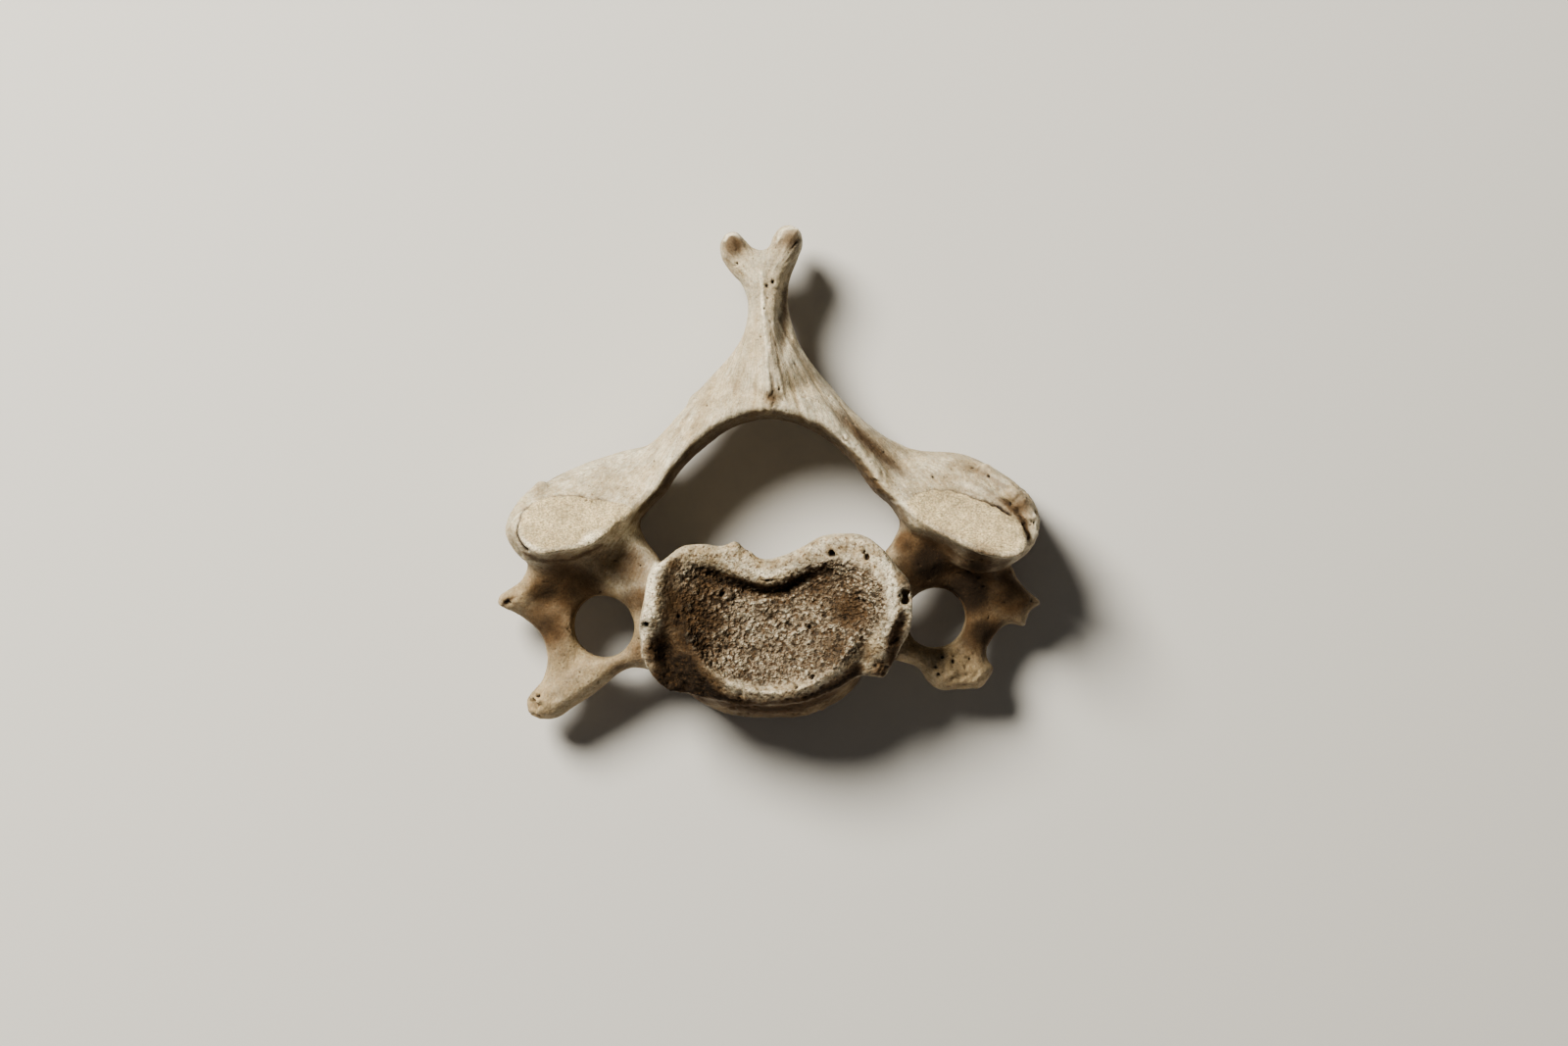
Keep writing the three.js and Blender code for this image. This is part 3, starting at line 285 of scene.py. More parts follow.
# Rough patches are rows of (x, y, radius, roughness)
ROUGH_PATCHES = [
    (0.2, 7.4, 1, 0.22), (24.4, -2.4, 1.6, 0.28), (25.9, -4.5, 1.6, 0.22), (13.3, -12, 1.7, 0.09),
    (12.9, -15.5, 1.8, 0.14), (11.4, -19.6, 1.6, 0.2), (18.6, -19.4, 2.4, 0.3), (-8.5, -21, 2.4, 0.2),
    (-3, -23, 3, 0.18), (4, -23, 3, 0.18), (-11.7, -17.5, 1.6, 0.16), (-26.6, -12.9, 1, 0.2),
    (-23.3, -22.9, 1.6, 0.26), (10.4, -0.6, 1.4, 0.14), (9.4, 1.6, 1.2, 0.1), (2.1, 24, 1.1, 0.14),
    (-4, 23.4, 1, 0.1), (-22.9, -1.7, 1.2, 0.06), (-3.2, -7.2, 1.6, 0.12), (26, -13.3, 1.2, 0.14),
    (-13.5, -2.2, 1.2, 0.08), (20.6, -9.6, 2.4, 0.16), (-8.6, 5, 1.2, 0.06),
]
# Brown stains and painted shade are rows of (x, y, radius, strength); many darken places where shade
# falls on the bone. Those stronger than 0.9 turn near black, as painted shadow
STAINS_AND_SHADE = [
    (-9.6, -20.2, 2.4, 1.5), (-7, -21.4, 2.4, 1.4), (9.4, -22, 2.2, 1.2), (13.6, -12.3, 0.6, 0.8),
    (-8.2, -13.2, 2.8, 1), (-7.8, -16, 2.8, 1.2), (-6, -11.2, 2.4, 0.8), (7.8, -13.6, 2.4, 1),
    (4.6, -11.2, 2, 0.7), (0.2, 7.6, 0.9, 0.7), (-22.9, -1.7, 0.9, 0.4), (24.8, -3.2, 1.5, 0.75),
    (20.4, -9.4, 2.6, 1.1), (15.8, -8.8, 3.4, 1.3), (19.6, -11.8, 4, 1.35), (24, -12, 3, 1),
    (21.2, -15.6, 2.8, 1.15), (-21, -9.9, 3, 0.8), (-16.8, -8.8, 3.2, 0.55), (-19.5, -12, 3.8, 0.95),
    (-22.4, -15, 3, 1.05), (-14, -9, 2.8, 0.8), (-13.4, -12.4, 1.8, 0.85), (-21, -17.6, 1.8, 0.5),
    (-14.8, -19.4, 2, 0.6), (22, 1, 1.5, 0.3), (2.2, 23.2, 1.3, 0.75), (0.8, 23.2, 0.8, 0.6),
    (-3.6, 22.9, 1.4, 0.85), (-4.1, 21.7, 0.9, 0.5), (-0.6, 19, 0.8, 0.25), (13.7, -6.9, 1.9, 1),
    (-26, -7, 1.2, 0.5), (6.4, -17.4, 2.6, 0.6), (-9.3, -9, 1.1, 0.7), (-5, -7.9, 1.4, 0.25),
    (-10.4, -17.6, 2, 1.3), (-8.6, -19.2, 2.4, 1.5), (-8.9, -14.6, 1.9, 1.15), (-6.6, -14.8, 2.8, 0.9),
    (11, -19.6, 1.6, 0.75), (9.4, -17.7, 1.4, 0.6), (5, -18.6, 2, 0.45), (23.4, -9.5, 1.6, 1),
    (25.4, -8.3, 1, 0.8), (5.6, 9.4, 1.3, 0.5), (10.6, 4.4, 1.1, 0.45), (-13.2, -17.6, 1.8, 0.65),
    (-22.2, -11.6, 2.4, 1.05), (-20.2, -20, 2.2, 0.35),
]
# Painted highlights along crests, and brown stains with painted shade along hollows and walls, are
# lines of (x, y, strength, half-width)
HIGHLIGHT_LINES = [
    [(-10.2, -8.3, 0.6, 0.4), (-11.3, -9.4, 1, 0.5), (-11.7, -11.4, 1.1, 0.6), (-11.9, -13.4, 1.1, 0.6),
     (-12.2, -14.7, 0.9, 0.5), (-12.7, -16.4, 0.7, 0.25), (-12.6, -18.2, 0.6, 0.2),
     (-12, -19.9, 0.7, 0.25), (-10.9, -21.4, 0.5, 0.25)],
    [(-5.4, -20.4, 0.1, 0.25), (-3.2, -21.2, 0.15, 0.3), (-1, -21.5, 0.2, 0.3), (1.6, -21.1, 0.2, 0.3),
     (4.2, -20.3, 0.2, 0.3), (6.2, -18.6, 0.15, 0.26)],
    [(10.7, -8.3, 0.5, 0.6), (11.6, -9.3, 1, 0.6), (12.1, -11.4, 1, 0.5), (12.1, -13.2, 1, 0.5),
     (11.8, -14.6, 0.8, 0.45), (11, -16.2, 0.4, 0.5)],
    [(-2.8, -8.8, 0.5, 0.4), (-0.8, -9.8, 0.9, 0.4), (0.8, -9.6, 0.9, 0.4), (2.6, -8.8, 0.5, 0.4)],
    [(-0.9, 20, 0.9, 0.22), (-0.75, 17.2, 1, 0.2), (-0.5, 14.6, 1, 0.2), (-0.3, 13, 0.9, 0.22),
     (-0.3, 11.4, 0.7, 0.25)],
    [(-4.6, 23.4, 0.8, 0.3), (-3.8, 24.1, 1, 0.3), (-3, 23.8, 0.6, 0.3)],
    [(0.6, 23.2, 0.6, 0.3), (1.2, 24.4, 1, 0.3), (2.4, 24.7, 0.8, 0.3), (2.9, 24, 0.9, 0.25)],
    [(-24.5, -6.2, 0.5, 0.25), (-23.6, -7.1, 0.6, 0.3), (-22, -7.6, 0.2, 0.3)],
    [(-19, -7, 0.1, 0.4), (-17.9, -6.4, 0.7, 0.7), (-16.8, -5.6, 0.5, 0.5)],
    [(11.6, -2.8, 0.6, 0.25), (13.2, -3, 0.6, 0.25), (14.4, -3.9, 0.3, 0.25)],
    [(26.2, -3.6, 0.7, 0.3), (26.5, -5, 0.8, 0.3), (26.2, -6.4, 0.6, 0.25)],
    [(17.6, -0.7, 0.2, 0.5), (19.4, -0.9, 0.6, 0.5), (21.4, -1.8, 0.5, 0.4)],
    [(11.4, -5.4, 0.4, 0.4), (11.6, -6.6, 0.6, 0.5), (12.2, -7.8, 0.3, 0.5)],
]
BROWN_SHADE_LINES = [
    [(-9.6, -9.2, 0.6, 0.7), (-9.8, -11, 0.8, 0.9), (-9.8, -13.4, 0.85, 1), (-10.2, -16, 0.95, 1),
     (-10.6, -18.6, 1.1, 1.1), (-9.8, -20.6, 1.1, 1.2)],
    [(-8.6, -17.8, 1.1, 1), (-7.4, -19.8, 1.3, 1), (-5.6, -21.9, 1.3, 0.9), (-3, -22.9, 1.3, 0.9),
     (0, -23.3, 1.3, 0.9), (3.4, -22.7, 1.3, 0.9), (6.4, -21.3, 1.3, 0.9), (8.8, -19.2, 1.1, 0.7)],
    [(-8.4, -23.2, 1.2, 1.4), (-4.4, -24.8, 1.3, 1.4), (0, -25, 1.3, 1.4), (4.4, -24.8, 1.3, 1.4),
     (8.4, -22.6, 1.2, 1.4)],
    [(12.9, -14, 0.8, 0.6), (12.4, -15.6, 1, 0.9), (12.2, -17.6, 1, 0.8), (12.2, -19.4, 0.9, 0.6)],
    [(-6.8, -9.5, 0.7, 0.6), (-4.6, -10.4, 1.2, 0.7), (-2.4, -11, 1.3, 0.6), (-0.2, -11.5, 1.3, 0.6),
     (2, -10.8, 1.2, 0.6), (4.2, -9.6, 1, 0.5), (6, -9, 0.4, 0.5)],
    [(2.4, 20.8, 0.5, 0.5), (1.9, 19, 0.7, 0.6), (1.5, 17.2, 0.7, 0.6), (1.4, 15.4, 0.7, 0.6),
     (1.4, 13.8, 0.6, 0.5), (1.2, 12.2, 0.4, 0.4), (0.6, 10.4, 0.3, 0.3)],
    [(5.6, 7.2, 0.35, 0.7), (8, 4.9, 0.7, 0.8), (10.4, 2.6, 0.8, 0.9), (12.6, 0.6, 0.6, 0.8),
     (14.2, -0.6, 0.3, 0.6)],
    [(22.6, -2.3, 0.4, 0.3), (24, -3.3, 1, 0.4), (25.1, -4.6, 1.1, 0.4), (25.6, -6.2, 1, 0.35)],
    [(16, 1.2, 0.2, 0.6), (19, 0.9, 0.45, 0.7), (21.6, -0.1, 0.5, 0.7), (23.4, -1.4, 0.5, 0.5)],
    [(-24.4, -7.9, 0.7, 0.35), (-22.4, -8.6, 0.8, 0.4), (-19.6, -8.4, 0.8, 0.4), (-16.6, -7, 0.7, 0.4)],
    [(17, -7, 0.6, 0.4), (19.6, -8.6, 0.8, 0.5), (22.6, -9.1, 0.8, 0.4), (25, -8.2, 0.5, 0.3)],
    [(-12.6, -3.6, 0.7, 0.5), (-10.7, -1.6, 0.8, 0.5), (-8.9, 0.8, 0.8, 0.5), (-6.5, 3, 0.75, 0.45),
     (-3.5, 4.9, 0.6, 0.4), (-0.5, 5.7, 0.5, 0.35), (2.6, 5.2, 0.6, 0.4), (5.7, 3.7, 0.75, 0.45),
     (8.4, 1.4, 0.8, 0.5), (10.5, -1.3, 0.8, 0.5), (12.4, -3.2, 0.7, 0.5)],
    [(0.2, 12, 0.3, 0.2), (0.2, 10.4, 0.4, 0.22), (0.3, 8.8, 0.6, 0.3), (0.1, 7.8, 0.7, 0.4)],
    [(-26.6, -12.8, 0.9, 0.35), (-25.8, -12.3, 0.6, 0.35), (-24.6, -11.6, 0.2, 0.4)],
]
# Chips are chains of balls of (x, y, z, radius), cut out of the finished bone
CHIPS = [
    [(13.35, -11.65, 17, 0.42), (13.35, -11.65, 14.8, 0.42), (13.35, -12.4, 14.8, 0.42),
     (13.35, -12.4, 17, 0.42)],
    [(-23.6, -22.7, 8.6, 0.6), (-23.8, -23.1, 6.6, 0.7)],
    [(-11.7, -15, 15.9, 0.3), (-11.95, -16.8, 14.9, 0.45), (-11.9, -18.6, 13.8, 0.4)],
    [(10.9, -20.9, 13, 0.45), (10.6, -20.4, 12.8, 0.3)],
    [(14.3, -10.6, 16.6, 0.5), (14, -10.1, 16, 0.4)],
    [(13.5, -13.9, 16.2, 0.6), (13, -15.2, 15.3, 0.8), (12.5, -16.6, 14.2, 0.7)],
    [(13.3, -17.2, 13.8, 0.4), (12.9, -18.6, 13.2, 0.45), (12.5, -19.8, 12.8, 0.4)],
    [(11.7, -17.4, 14.4, 0.35), (11.6, -18.8, 13.6, 0.4), (11.9, -20.2, 13, 0.35)],
    [(14, -9, 16.8, 0.35), (13.75, -8.4, 16.4, 0.4), (13.2, -8, 16.2, 0.3)],
]
TRANSVERSE_LEVEL = dict(roof=6.2, floor=3.3, under_body=4.6, x=(11, 18))
HOLE_ROUNDING = 0.8


def smooth_max(a, b, k):
    """The larger of two values, with the corner between them rounded over a width k."""
    overlap = np.maximum(k - np.abs(a - b), 0) / k
    return np.maximum(a, b) + overlap * overlap * k / 4


def smooth_min(a, b, k):
    return -smooth_max(-a, -b, k)


def smooth_step(start, end, value):
    t = np.clip((value - start) / (end - start), 0, 1)
    return t * t * (3 - 2 * t)


def mix(a, b, t):
    return a + (b - a) * t


def curve_point(before, a, b, after, t):
    """A point between a and b on the Catmull-Rom curve through four points."""
    return 0.5 * (2 * a + (b - before) * t + (2 * before - 5 * a + 4 * b - after) * t ** 2
                  + (3 * a - before - 3 * b + after) * t ** 3)


def smooth_ring(points, steps=5):
    """A closed smooth curve through the points."""
    p = np.array(points)
    before, after, beyond = np.roll(p, 1, 0), np.roll(p, -1, 0), np.roll(p, -2, 0)
    ring = [curve_point(before, p, after, beyond, t) for t in np.arange(steps) / steps]
    return np.stack(ring, 1).reshape(-1, 2)


def along_segment(x, y, a, b):
    dx, dy = b[0] - a[0], b[1] - a[1]
    return np.clip(((x - a[0]) * dx + (y - a[1]) * dy) / (dx * dx + dy * dy), 0, 1)


def outline_distance(points, x, y):
    """Signed distance in the plane to a smooth closed outline, negative inside it."""
    ring = smooth_ring(points)
    nearest = np.full(x.shape, FAR)
    inside = np.zeros(x.shape, bool)
    for a, b in zip(ring, np.roll(ring, -1, 0)):
        t = along_segment(x, y, a, b)
        gap = (x - mix(a[0], b[0], t)) ** 2 + (y - mix(a[1], b[1], t)) ** 2
        nearest = np.minimum(nearest, gap)
        if a[1] != b[1]:
            crosses = (a[1] > y) != (b[1] > y)
            inside ^= crosses & (x < a[0] + (y - a[1]) / (b[1] - a[1]) * (b[0] - a[0]))
    return np.where(inside, -1, 1) * np.sqrt(nearest)


def smooth_line(stations, steps=4):
    """An open smooth curve through rows of values."""
    p = np.array(stations)
    p = np.concatenate([2 * p[:1] - p[1:2], p, 2 * p[-1:] - p[-2:-1]])
    line = [curve_point(*around, t) for around in zip(p, p[1:], p[2:], p[3:])
            for t in np.arange(steps) / steps]
    return np.array(line + [p[-2]])


def stretches(line, x, y):
    """For each stretch of a smooth line: its distance, and its values beside every point."""
    stations = smooth_line(line)
    for a, b in zip(stations, stations[1:]):
        t = along_segment(x, y, a, b)
        away = np.hypot(x - mix(a[0], b[0], t), y - mix(a[1], b[1], t))
        yield away, [mix(start, end, t) for start, end in zip(a[2:], b[2:])]


def ridge_height(ridge, x, y, crest_radius=0.4, softness=0.35):
    """Height of a ridge over the plane. It falls away on both sides of its crest line."""
    gaps, heights = [], []
    for away, (height, half_width, slope) in stretches(ridge, x, y):
        past = np.maximum(away - half_width, 0)
        gaps.append(away)
        heights.append(height - slope * (np.hypot(past, crest_radius) - crest_radius))
    nearness = np.exp((np.min(gaps, 0) - gaps) / softness)
    return (nearness * heights).sum(0) / nearness.sum(0)


def relief(lines, x, y):
    """Height of soft ribs along lines of (x, y, height, half-width)."""
    highest = np.zeros(x.shape)
    for line in lines:
        for away, (height, half_width) in stretches(line, x, y):
            highest = np.maximum(highest, height * np.exp(-((away / half_width) ** 2)))
    return highest


def capsule_distance(stations, x, y, z):
    """Signed distance to a chain of balls of (x, y, z, radius), negative inside it."""
    nearest = np.full(x.shape, FAR)
    for a, b in zip(stations, stations[1:]):
        step = np.array(b) - np.array(a)
        t = (x - a[0]) * step[0] + (y - a[1]) * step[1] + (z - a[2]) * step[2]
        t = np.clip(t / np.dot(step[:3], step[:3]), 0, 1)
        gap = np.sqrt((x - a[0] - step[0] * t) ** 2 + (y - a[1] - step[1] * t) ** 2
                      + (z - a[2] - step[2] * t) ** 2)
        nearest = np.minimum(nearest, gap - mix(a[3], b[3], t))
    return nearest


def slab(side, roof, floor, rounding=EDGE_ROUNDING):
    """A region of the bone: a function that gives its field over the plane at a level z."""
    def at(z):
        ends = smooth_max((z - roof) / STEEPNESS, (floor - z) / STEEPNESS, rounding)
        return smooth_max(side(z), ends, rounding)
    return at


def endplate_height(x, y):
    ring_x, ring_y = RING["middle"]
    from_ring = np.hypot((x - ring_x) / RING["rx"], (y - ring_y) / RING["ry"])
    in_front = smooth_step(*RING["fade"], y - ring_y)
    low_x, low_y = ENDPLATE["middle"]
    bowl = ENDPLATE["across"] * (x - low_x) ** 2 + ENDPLATE["along"] * (y - low_y) ** 2
    ring = RING["height"] * np.exp(-(((from_ring - 1) / RING["width"]) ** 2))
    bevel = BEVEL["drop"] * smooth_step(BEVEL["start"], BEVEL["end"], from_ring)
    return ENDPLATE["level"] + bowl + in_front * (ring - bevel) - relief([TROUGH], x, y)


def body_region(x, y):
    upper = outline_distance(UPPER_RIM, x, y)
    lower = outline_distance(LOWER_RIM, x, y)

    def side(z):
        t = smooth_step(*FLANK_LEVELS, z)
        return mix(lower, upper, t) + FLANK_WAIST * 4 * t * (1 - t)

    endplate = endplate_height(x, y)
    roof = smooth_max(endplate, ridge_height(BODY_RIM_RIDGE, x, y), RIM_BLEND)

    back_at, hollow_at, lip_at = (BODY_FLOOR[name] for name in ("back_at", "hollow_at", "lip_at"))
    behind = mix(BODY_FLOOR["hollow"], BODY_FLOOR["back"], smooth_step(hollow_at, back_at, y))
    floor = mix(BODY_FLOOR["lip"], behind, smooth_step(lip_at, hollow_at, y))
    return slab(side, roof, floor + BODY_FLOOR["curl"] * x * x, RIM_BLEND)


def arch_region(x, y):
    outline = outline_distance(ARCH, x, y)
    roof = ridge_height(ARCH_RIDGES[0], x, y)
    for ridge in ARCH_RIDGES[1:]:
        roof = smooth_max(roof, ridge_height(ridge, x, y), RIDGE_BLEND)
    roof = roof + relief(ARCH_RIBS, x, y) - relief(ARCH_GROOVES, x, y)
    under_lamina = smooth_min(
        LAMINA_FLOOR["outer"] - LAMINA_FLOOR["rise"] * outline, LAMINA_FLOOR["highest"], FLOOR_BLEND)
    under_spine = SPINE_FLOOR["level"] - SPINE_FLOOR["tip_drop"] * smooth_step(*SPINE_FLOOR["tip_y"], y)
    floor = mix(under_lamina, under_spine, smooth_step(*SPINE_FLOOR["y"], y))
    plate = slab(lambda z: outline, roof, floor)
    return lambda z: smooth_max(plate(z), -capsule_distance(NECK_HOLLOW, x, y, z), HOLLOW_BLEND)


def pillar_region(x, y, outline, facet, plane, back, groove, rim):
    top = plane["z"] + plane["along_x"] * (x - plane["x"]) + plane["along_y"] * (y - plane["y"])
    foot = outline_distance(outline, x, y)
    head = outline_distance(facet, x, y)

    def side(z):
        return mix(foot, head + PILLAR_NECK["inset"], smooth_step(*PILLAR_NECK["z"], z))

    behind = back["level"] + back["slope"] * (y - back["y"]) - relief([groove], x, y)
    roof = smooth_max(top - FACET["proud"], behind, HOLLOW_BLEND)
    lowest = PILLAR_FLOOR["lowest"]
    floor = smooth_max(lowest, lowest + PILLAR_FLOOR["slope"] * (y - PILLAR_FLOOR["y"]), FLOOR_BLEND)
    pillar = slab(side, roof, floor)
    plate = slab(lambda z: head, top, top - FACET["thick"], FACET["rounding"])

    def at(z):
        rimmed = smooth_min(pillar(z), capsule_distance(rim, x, y, z), RIDGE_BLEND)
        return smooth_min(rimmed, plate(z), FACET["blend"])
    return at


def transverse_region(x, y, outline, hole, ridges):
    wall = outline_distance(outline, x, y)
    roof = np.full(x.shape, TRANSVERSE_LEVEL["roof"])
    for ridge in ridges:
        roof = smooth_max(roof, ridge_height(ridge, x, y), FLOOR_BLEND)
    outward = smooth_step(*TRANSVERSE_LEVEL["x"], np.abs(x))
    floor = mix(TRANSVERSE_LEVEL["under_body"], TRANSVERSE_LEVEL["floor"], outward)
    plate = slab(lambda z: wall, roof, floor)
    reach = np.hypot((x - hole["x"]) / hole["rx"], (y - hole["y"]) / hole["ry"])
    inside_hole = (1 - reach) * min(hole["rx"], hole["ry"])
    return lambda z: smooth_max(plate(z), inside_hole, HOLE_ROUNDING)


def bone_field(x, y):
    """The whole bone: a function that gives its field over the plane at a level z."""
    around = [
        arch_region(x, y),
        pillar_region(x, y, **LEFT_PILLAR),
        pillar_region(x, y, **RIGHT_PILLAR),
        transverse_region(x, y, **LEFT_TRANSVERSE),
        transverse_region(x, y, **RIGHT_TRANSVERSE),
    ]
    body = body_region(x, y)
    canal = outline_distance(CANAL, x, y)
    flare_in_plan = CANAL_FLARE["widest"] * smooth_step(*CANAL_FLARE["y"], y)

    def at(z):
        ring = around[0](z)
        for region in around[1:]:
            ring = smooth_min(ring, region(z), BLEND)
        flare = flare_in_plan * smooth_step(*CANAL_FLARE["z"], z)
        open_ring = smooth_max(ring, flare - canal, CANAL_FLARE["rounding"])
        whole = smooth_min(open_ring, body(z), BLEND)
        for chip in CHIPS:
            whole = smooth_max(whole, -capsule_distance(chip, x, y, z), CHIP_BLEND)
        return np.maximum(whole, -z)
    return at


def sample_field():
    """The field on a regular grid, with the grid's first corner."""
    xs = np.arange(-HALF_SPAN_X, HALF_SPAN_X, GRID)
    ys = np.arange(-HALF_SPAN_Y, HALF_SPAN_Y, GRID)
    zs = np.arange(LEVELS[0], LEVELS[1], GRID)
    x, y = np.meshgrid(xs, ys, indexing="ij")
    at = bone_field(x, y)
    samples = np.stack([at(z).astype(np.float32) for z in zs], 2)
    return samples, np.array([xs[0], ys[0], zs[0]])


CORNERS = [(c & 1, (c >> 1) & 1, (c >> 2) & 1) for c in range(8)]


def crossing_means(samples, active):
    """The mean place, in each cell, of the points where the zero level crosses its edges."""
    values = [samples[tuple((active + c).T)] for c in CORNERS]
    total = np.zeros((len(active), 3))
    crossings = np.zeros(len(active))
    for axis in range(3):
        for c, corner in enumerate(CORNERS):
            if corner[axis]:
                continue
            a, b = values[c], values[c | (1 << axis)]
            crossed = (a < 0) != (b < 0)
            point = np.tile(np.array(corner, float), (len(active), 1))
            point[:, axis] = a / np.where(crossed, a - b, 1)
            total += point * crossed[:, None]
            crossings += crossed
    return total / crossings[:, None]


def quads_across(inside, index, axis):
    """Quads round the grid's edges along one axis that the surface crosses. They face outward."""
    u, v = (axis + 1) % 3, (axis + 2) % 3
    edges = np.argwhere(inside != np.roll(inside, -1, axis))
    edges = edges[edges[:, axis] < index.shape[axis]]
    corners = []
    for back_u, back_v in ((1, 1), (0, 1), (0, 0), (1, 0)):
        cell = edges.copy()
        cell[:, u] -= back_u
        cell[:, v] -= back_v
        corners.append(index[tuple(cell.T)])
    quads = np.stack(corners, 1)
    starts_outside = ~inside[tuple(edges.T)]
    quads[starts_outside] = quads[starts_outside][:, ::-1]
    return quads


def surface_of(samples, low):
    """Turns the field's zero level into quads with shared vertices, one vertex to a cell."""
    inside = samples < 0
    cells = tuple(n - 1 for n in samples.shape)
    count = np.zeros(cells, np.int8)
    for i, j, k in CORNERS:
        count += inside[i:i + cells[0], j:j + cells[1], k:k + cells[2]]
    active = np.argwhere((count > 0) & (count < len(CORNERS)))
    index = np.full(cells, -1, np.int32)
    index[tuple(active.T)] = np.arange(len(active))
    vertices = low + (active + crossing_means(samples, active)) * GRID
    return vertices, np.concatenate([quads_across(inside, index, axis) for axis in range(3)])


def vertex_normals(vertices, faces):
    """Unit normals, from the area-weighted normals of the faces round each vertex."""
    face = np.cross(vertices[faces[:, 2]] - vertices[faces[:, 0]],
                    vertices[faces[:, -1]] - vertices[faces[:, 1]])
    total = np.zeros_like(vertices)
    for corner in range(faces.shape[1]):
        for axis in range(3):
            total[:, axis] += np.bincount(faces[:, corner], face[:, axis], len(vertices))
    return total / np.maximum(np.linalg.norm(total, axis=1, keepdims=True), 1e-9)


def make_mesh(name, vertices, faces):
    sides = faces.shape[1]
    mesh = bpy.data.meshes.new(name)
    mesh.vertices.add(len(vertices))
    mesh.vertices.foreach_set("co", (vertices * MM).astype(np.float32).ravel())
    mesh.loops.add(faces.size)
    mesh.loops.foreach_set("vertex_index", faces.astype(np.int32).ravel())
    mesh.polygons.add(len(faces))
    mesh.polygons.foreach_set("loop_start", np.arange(0, faces.size, sides, dtype=np.int32))
    mesh.update(calc_edges=True)
    mesh.shade_smooth()
    return mesh


# Random values repeat after this many cells
NOISE_REPEAT = 32
GRAIN_REPEAT = 16


def between_corners(cell, part, value_at):
    """Blends the values at the corners of each point's cell."""
    total = np.zeros(len(cell))
    for corner in itertools.product((0, 1), repeat=cell.shape[1]):
        share = np.prod(np.where(corner, part, 1 - part), axis=1)
        total += share * value_at(cell + corner)
    return total


def look_up(samples, low, points):
    """Values between the samples of a regular grid that has two or three axes."""
    axes = samples.ndim
    at = (points[:, :axes] - low[:axes]) / GRID
    cell = np.clip(np.floor(at).astype(int), 0, np.array(samples.shape) - 2)
    return between_corners(cell, at - cell, lambda corner: samples[tuple(corner.T)])


def averaged(values, reach):
    """Mean over a cube of cells, worked out along one axis after another."""
    width = 2 * reach + 1
    for axis in range(3):
        room = [(0, 0)] * 3
        room[axis] = (reach + 1, reach)
        sums = np.cumsum(np.pad(values, room, mode="edge"), axis, dtype=np.float32)
        sums = np.moveaxis(sums, axis, 0)
        values = np.moveaxis((sums[width:] - sums[:-width]) / width, 0, axis)
    return values


def soft_noise(points, size, seed):
    """Smooth random values from -1 to 1. They change over about the given size."""
    lattice = np.random.default_rng(seed).uniform(-1, 1, (NOISE_REPEAT,) * 3)
    at = points / size
    cell = np.floor(at).astype(int)
    part = smooth_step(0, 1, at - cell)
    return between_corners(cell, part, lambda corner: lattice[tuple((corner % NOISE_REPEAT).T)])


def grain_distance(points, size, seed):
    """Distance to the nearest of many scattered points, one to a cell of the given size."""
    lattice = np.random.default_rng(seed).random((GRAIN_REPEAT,) * 3 + (3,))
    at = points / size
    cell = np.floor(at).astype(int)
    nearest = np.full(len(points), FAR)
    for step in itertools.product((-1, 0, 1), repeat=3):
        near = cell + step
        gap = near + lattice[tuple((near % GRAIN_REPEAT).T)] - at
        nearest = np.minimum(nearest, (gap * gap).sum(1))
    return np.sqrt(nearest)


def spots(places, x, y, sharpness=2):
    """The greatest height among round spots of (x, y, radius, height) at each point."""
    highest = np.zeros(len(x))
    for spot_x, spot_y, radius, height in places:
        away = np.hypot(x - spot_x, y - spot_y) / radius
        highest = np.maximum(highest, height * np.exp(-(away ** sharpness)))
    return highest


def zone_maps(x, y):
    """Where on the plan each kind of surface is, from 0 to 1."""
    upper = outline_distance(UPPER_RIM, x, y)
    left = outline_distance(LEFT_PILLAR["facet"], x, y)
    right = outline_distance(RIGHT_PILLAR["facet"], x, y)
    return dict(
        body=smooth_step(0.2, -0.4, upper),
        bowl=smooth_step(0.5, -0.5, outline_distance(POROUS, x, y)),
        facet=smooth_step(0.1, -0.2, np.minimum(left, right)),
        under_body=smooth_step(-0.6, -1.6, outline_distance(LOWER_RIM, x, y)),
        canal_edge=smooth_step(2.2, 0.8, outline_distance(CANAL, x, y)),
    )


# The arch's fibres fan out from a middle on the spine. Their noise has this many steps to the
# radian, and one step to so many millimetres along and up
FAN = dict(x=-0.8, y=18.5, across=26, along=5, up=3, fine_up=1.2)
# The bowl's grains lie at a slant: its cosine and sine
GRAIN_SLANT = (0.9, 0.44)
# Heights and depths of the fine relief
RELIEF = dict(grain=0.2, coarse_noise=0.1, gap=0.07, fine_noise=0.06, pore=0.14, fibre=0.12,
              swell=0.09, small_swell=0.035, pinhole=0.22)
# How far outlines of pits and cracks wander, and what counts as fully dark, rough or grainy
WOBBLE = 0.14
FULL = dict(pit=0.35, rough=0.2, crack=0.2, grain=0.25)
GRAIN_MIDDLE = -0.05


def surface_kinds(points, normals, zones):
    """How far each point faces up and belongs to the bowl, rim, facets and underside, from 0 to 1."""
    up = smooth_step(0.05, 0.35, normals[:, 2])
    down = smooth_step(-0.3, -0.7, normals[:, 2]) * smooth_step(9, 6, points[:, 2])
    bowl = zones["bowl"] * up
    rim = zones["body"] * up * (1 - bowl)
    return up, bowl, rim, zones["facet"] * up, zones["under_body"] * down


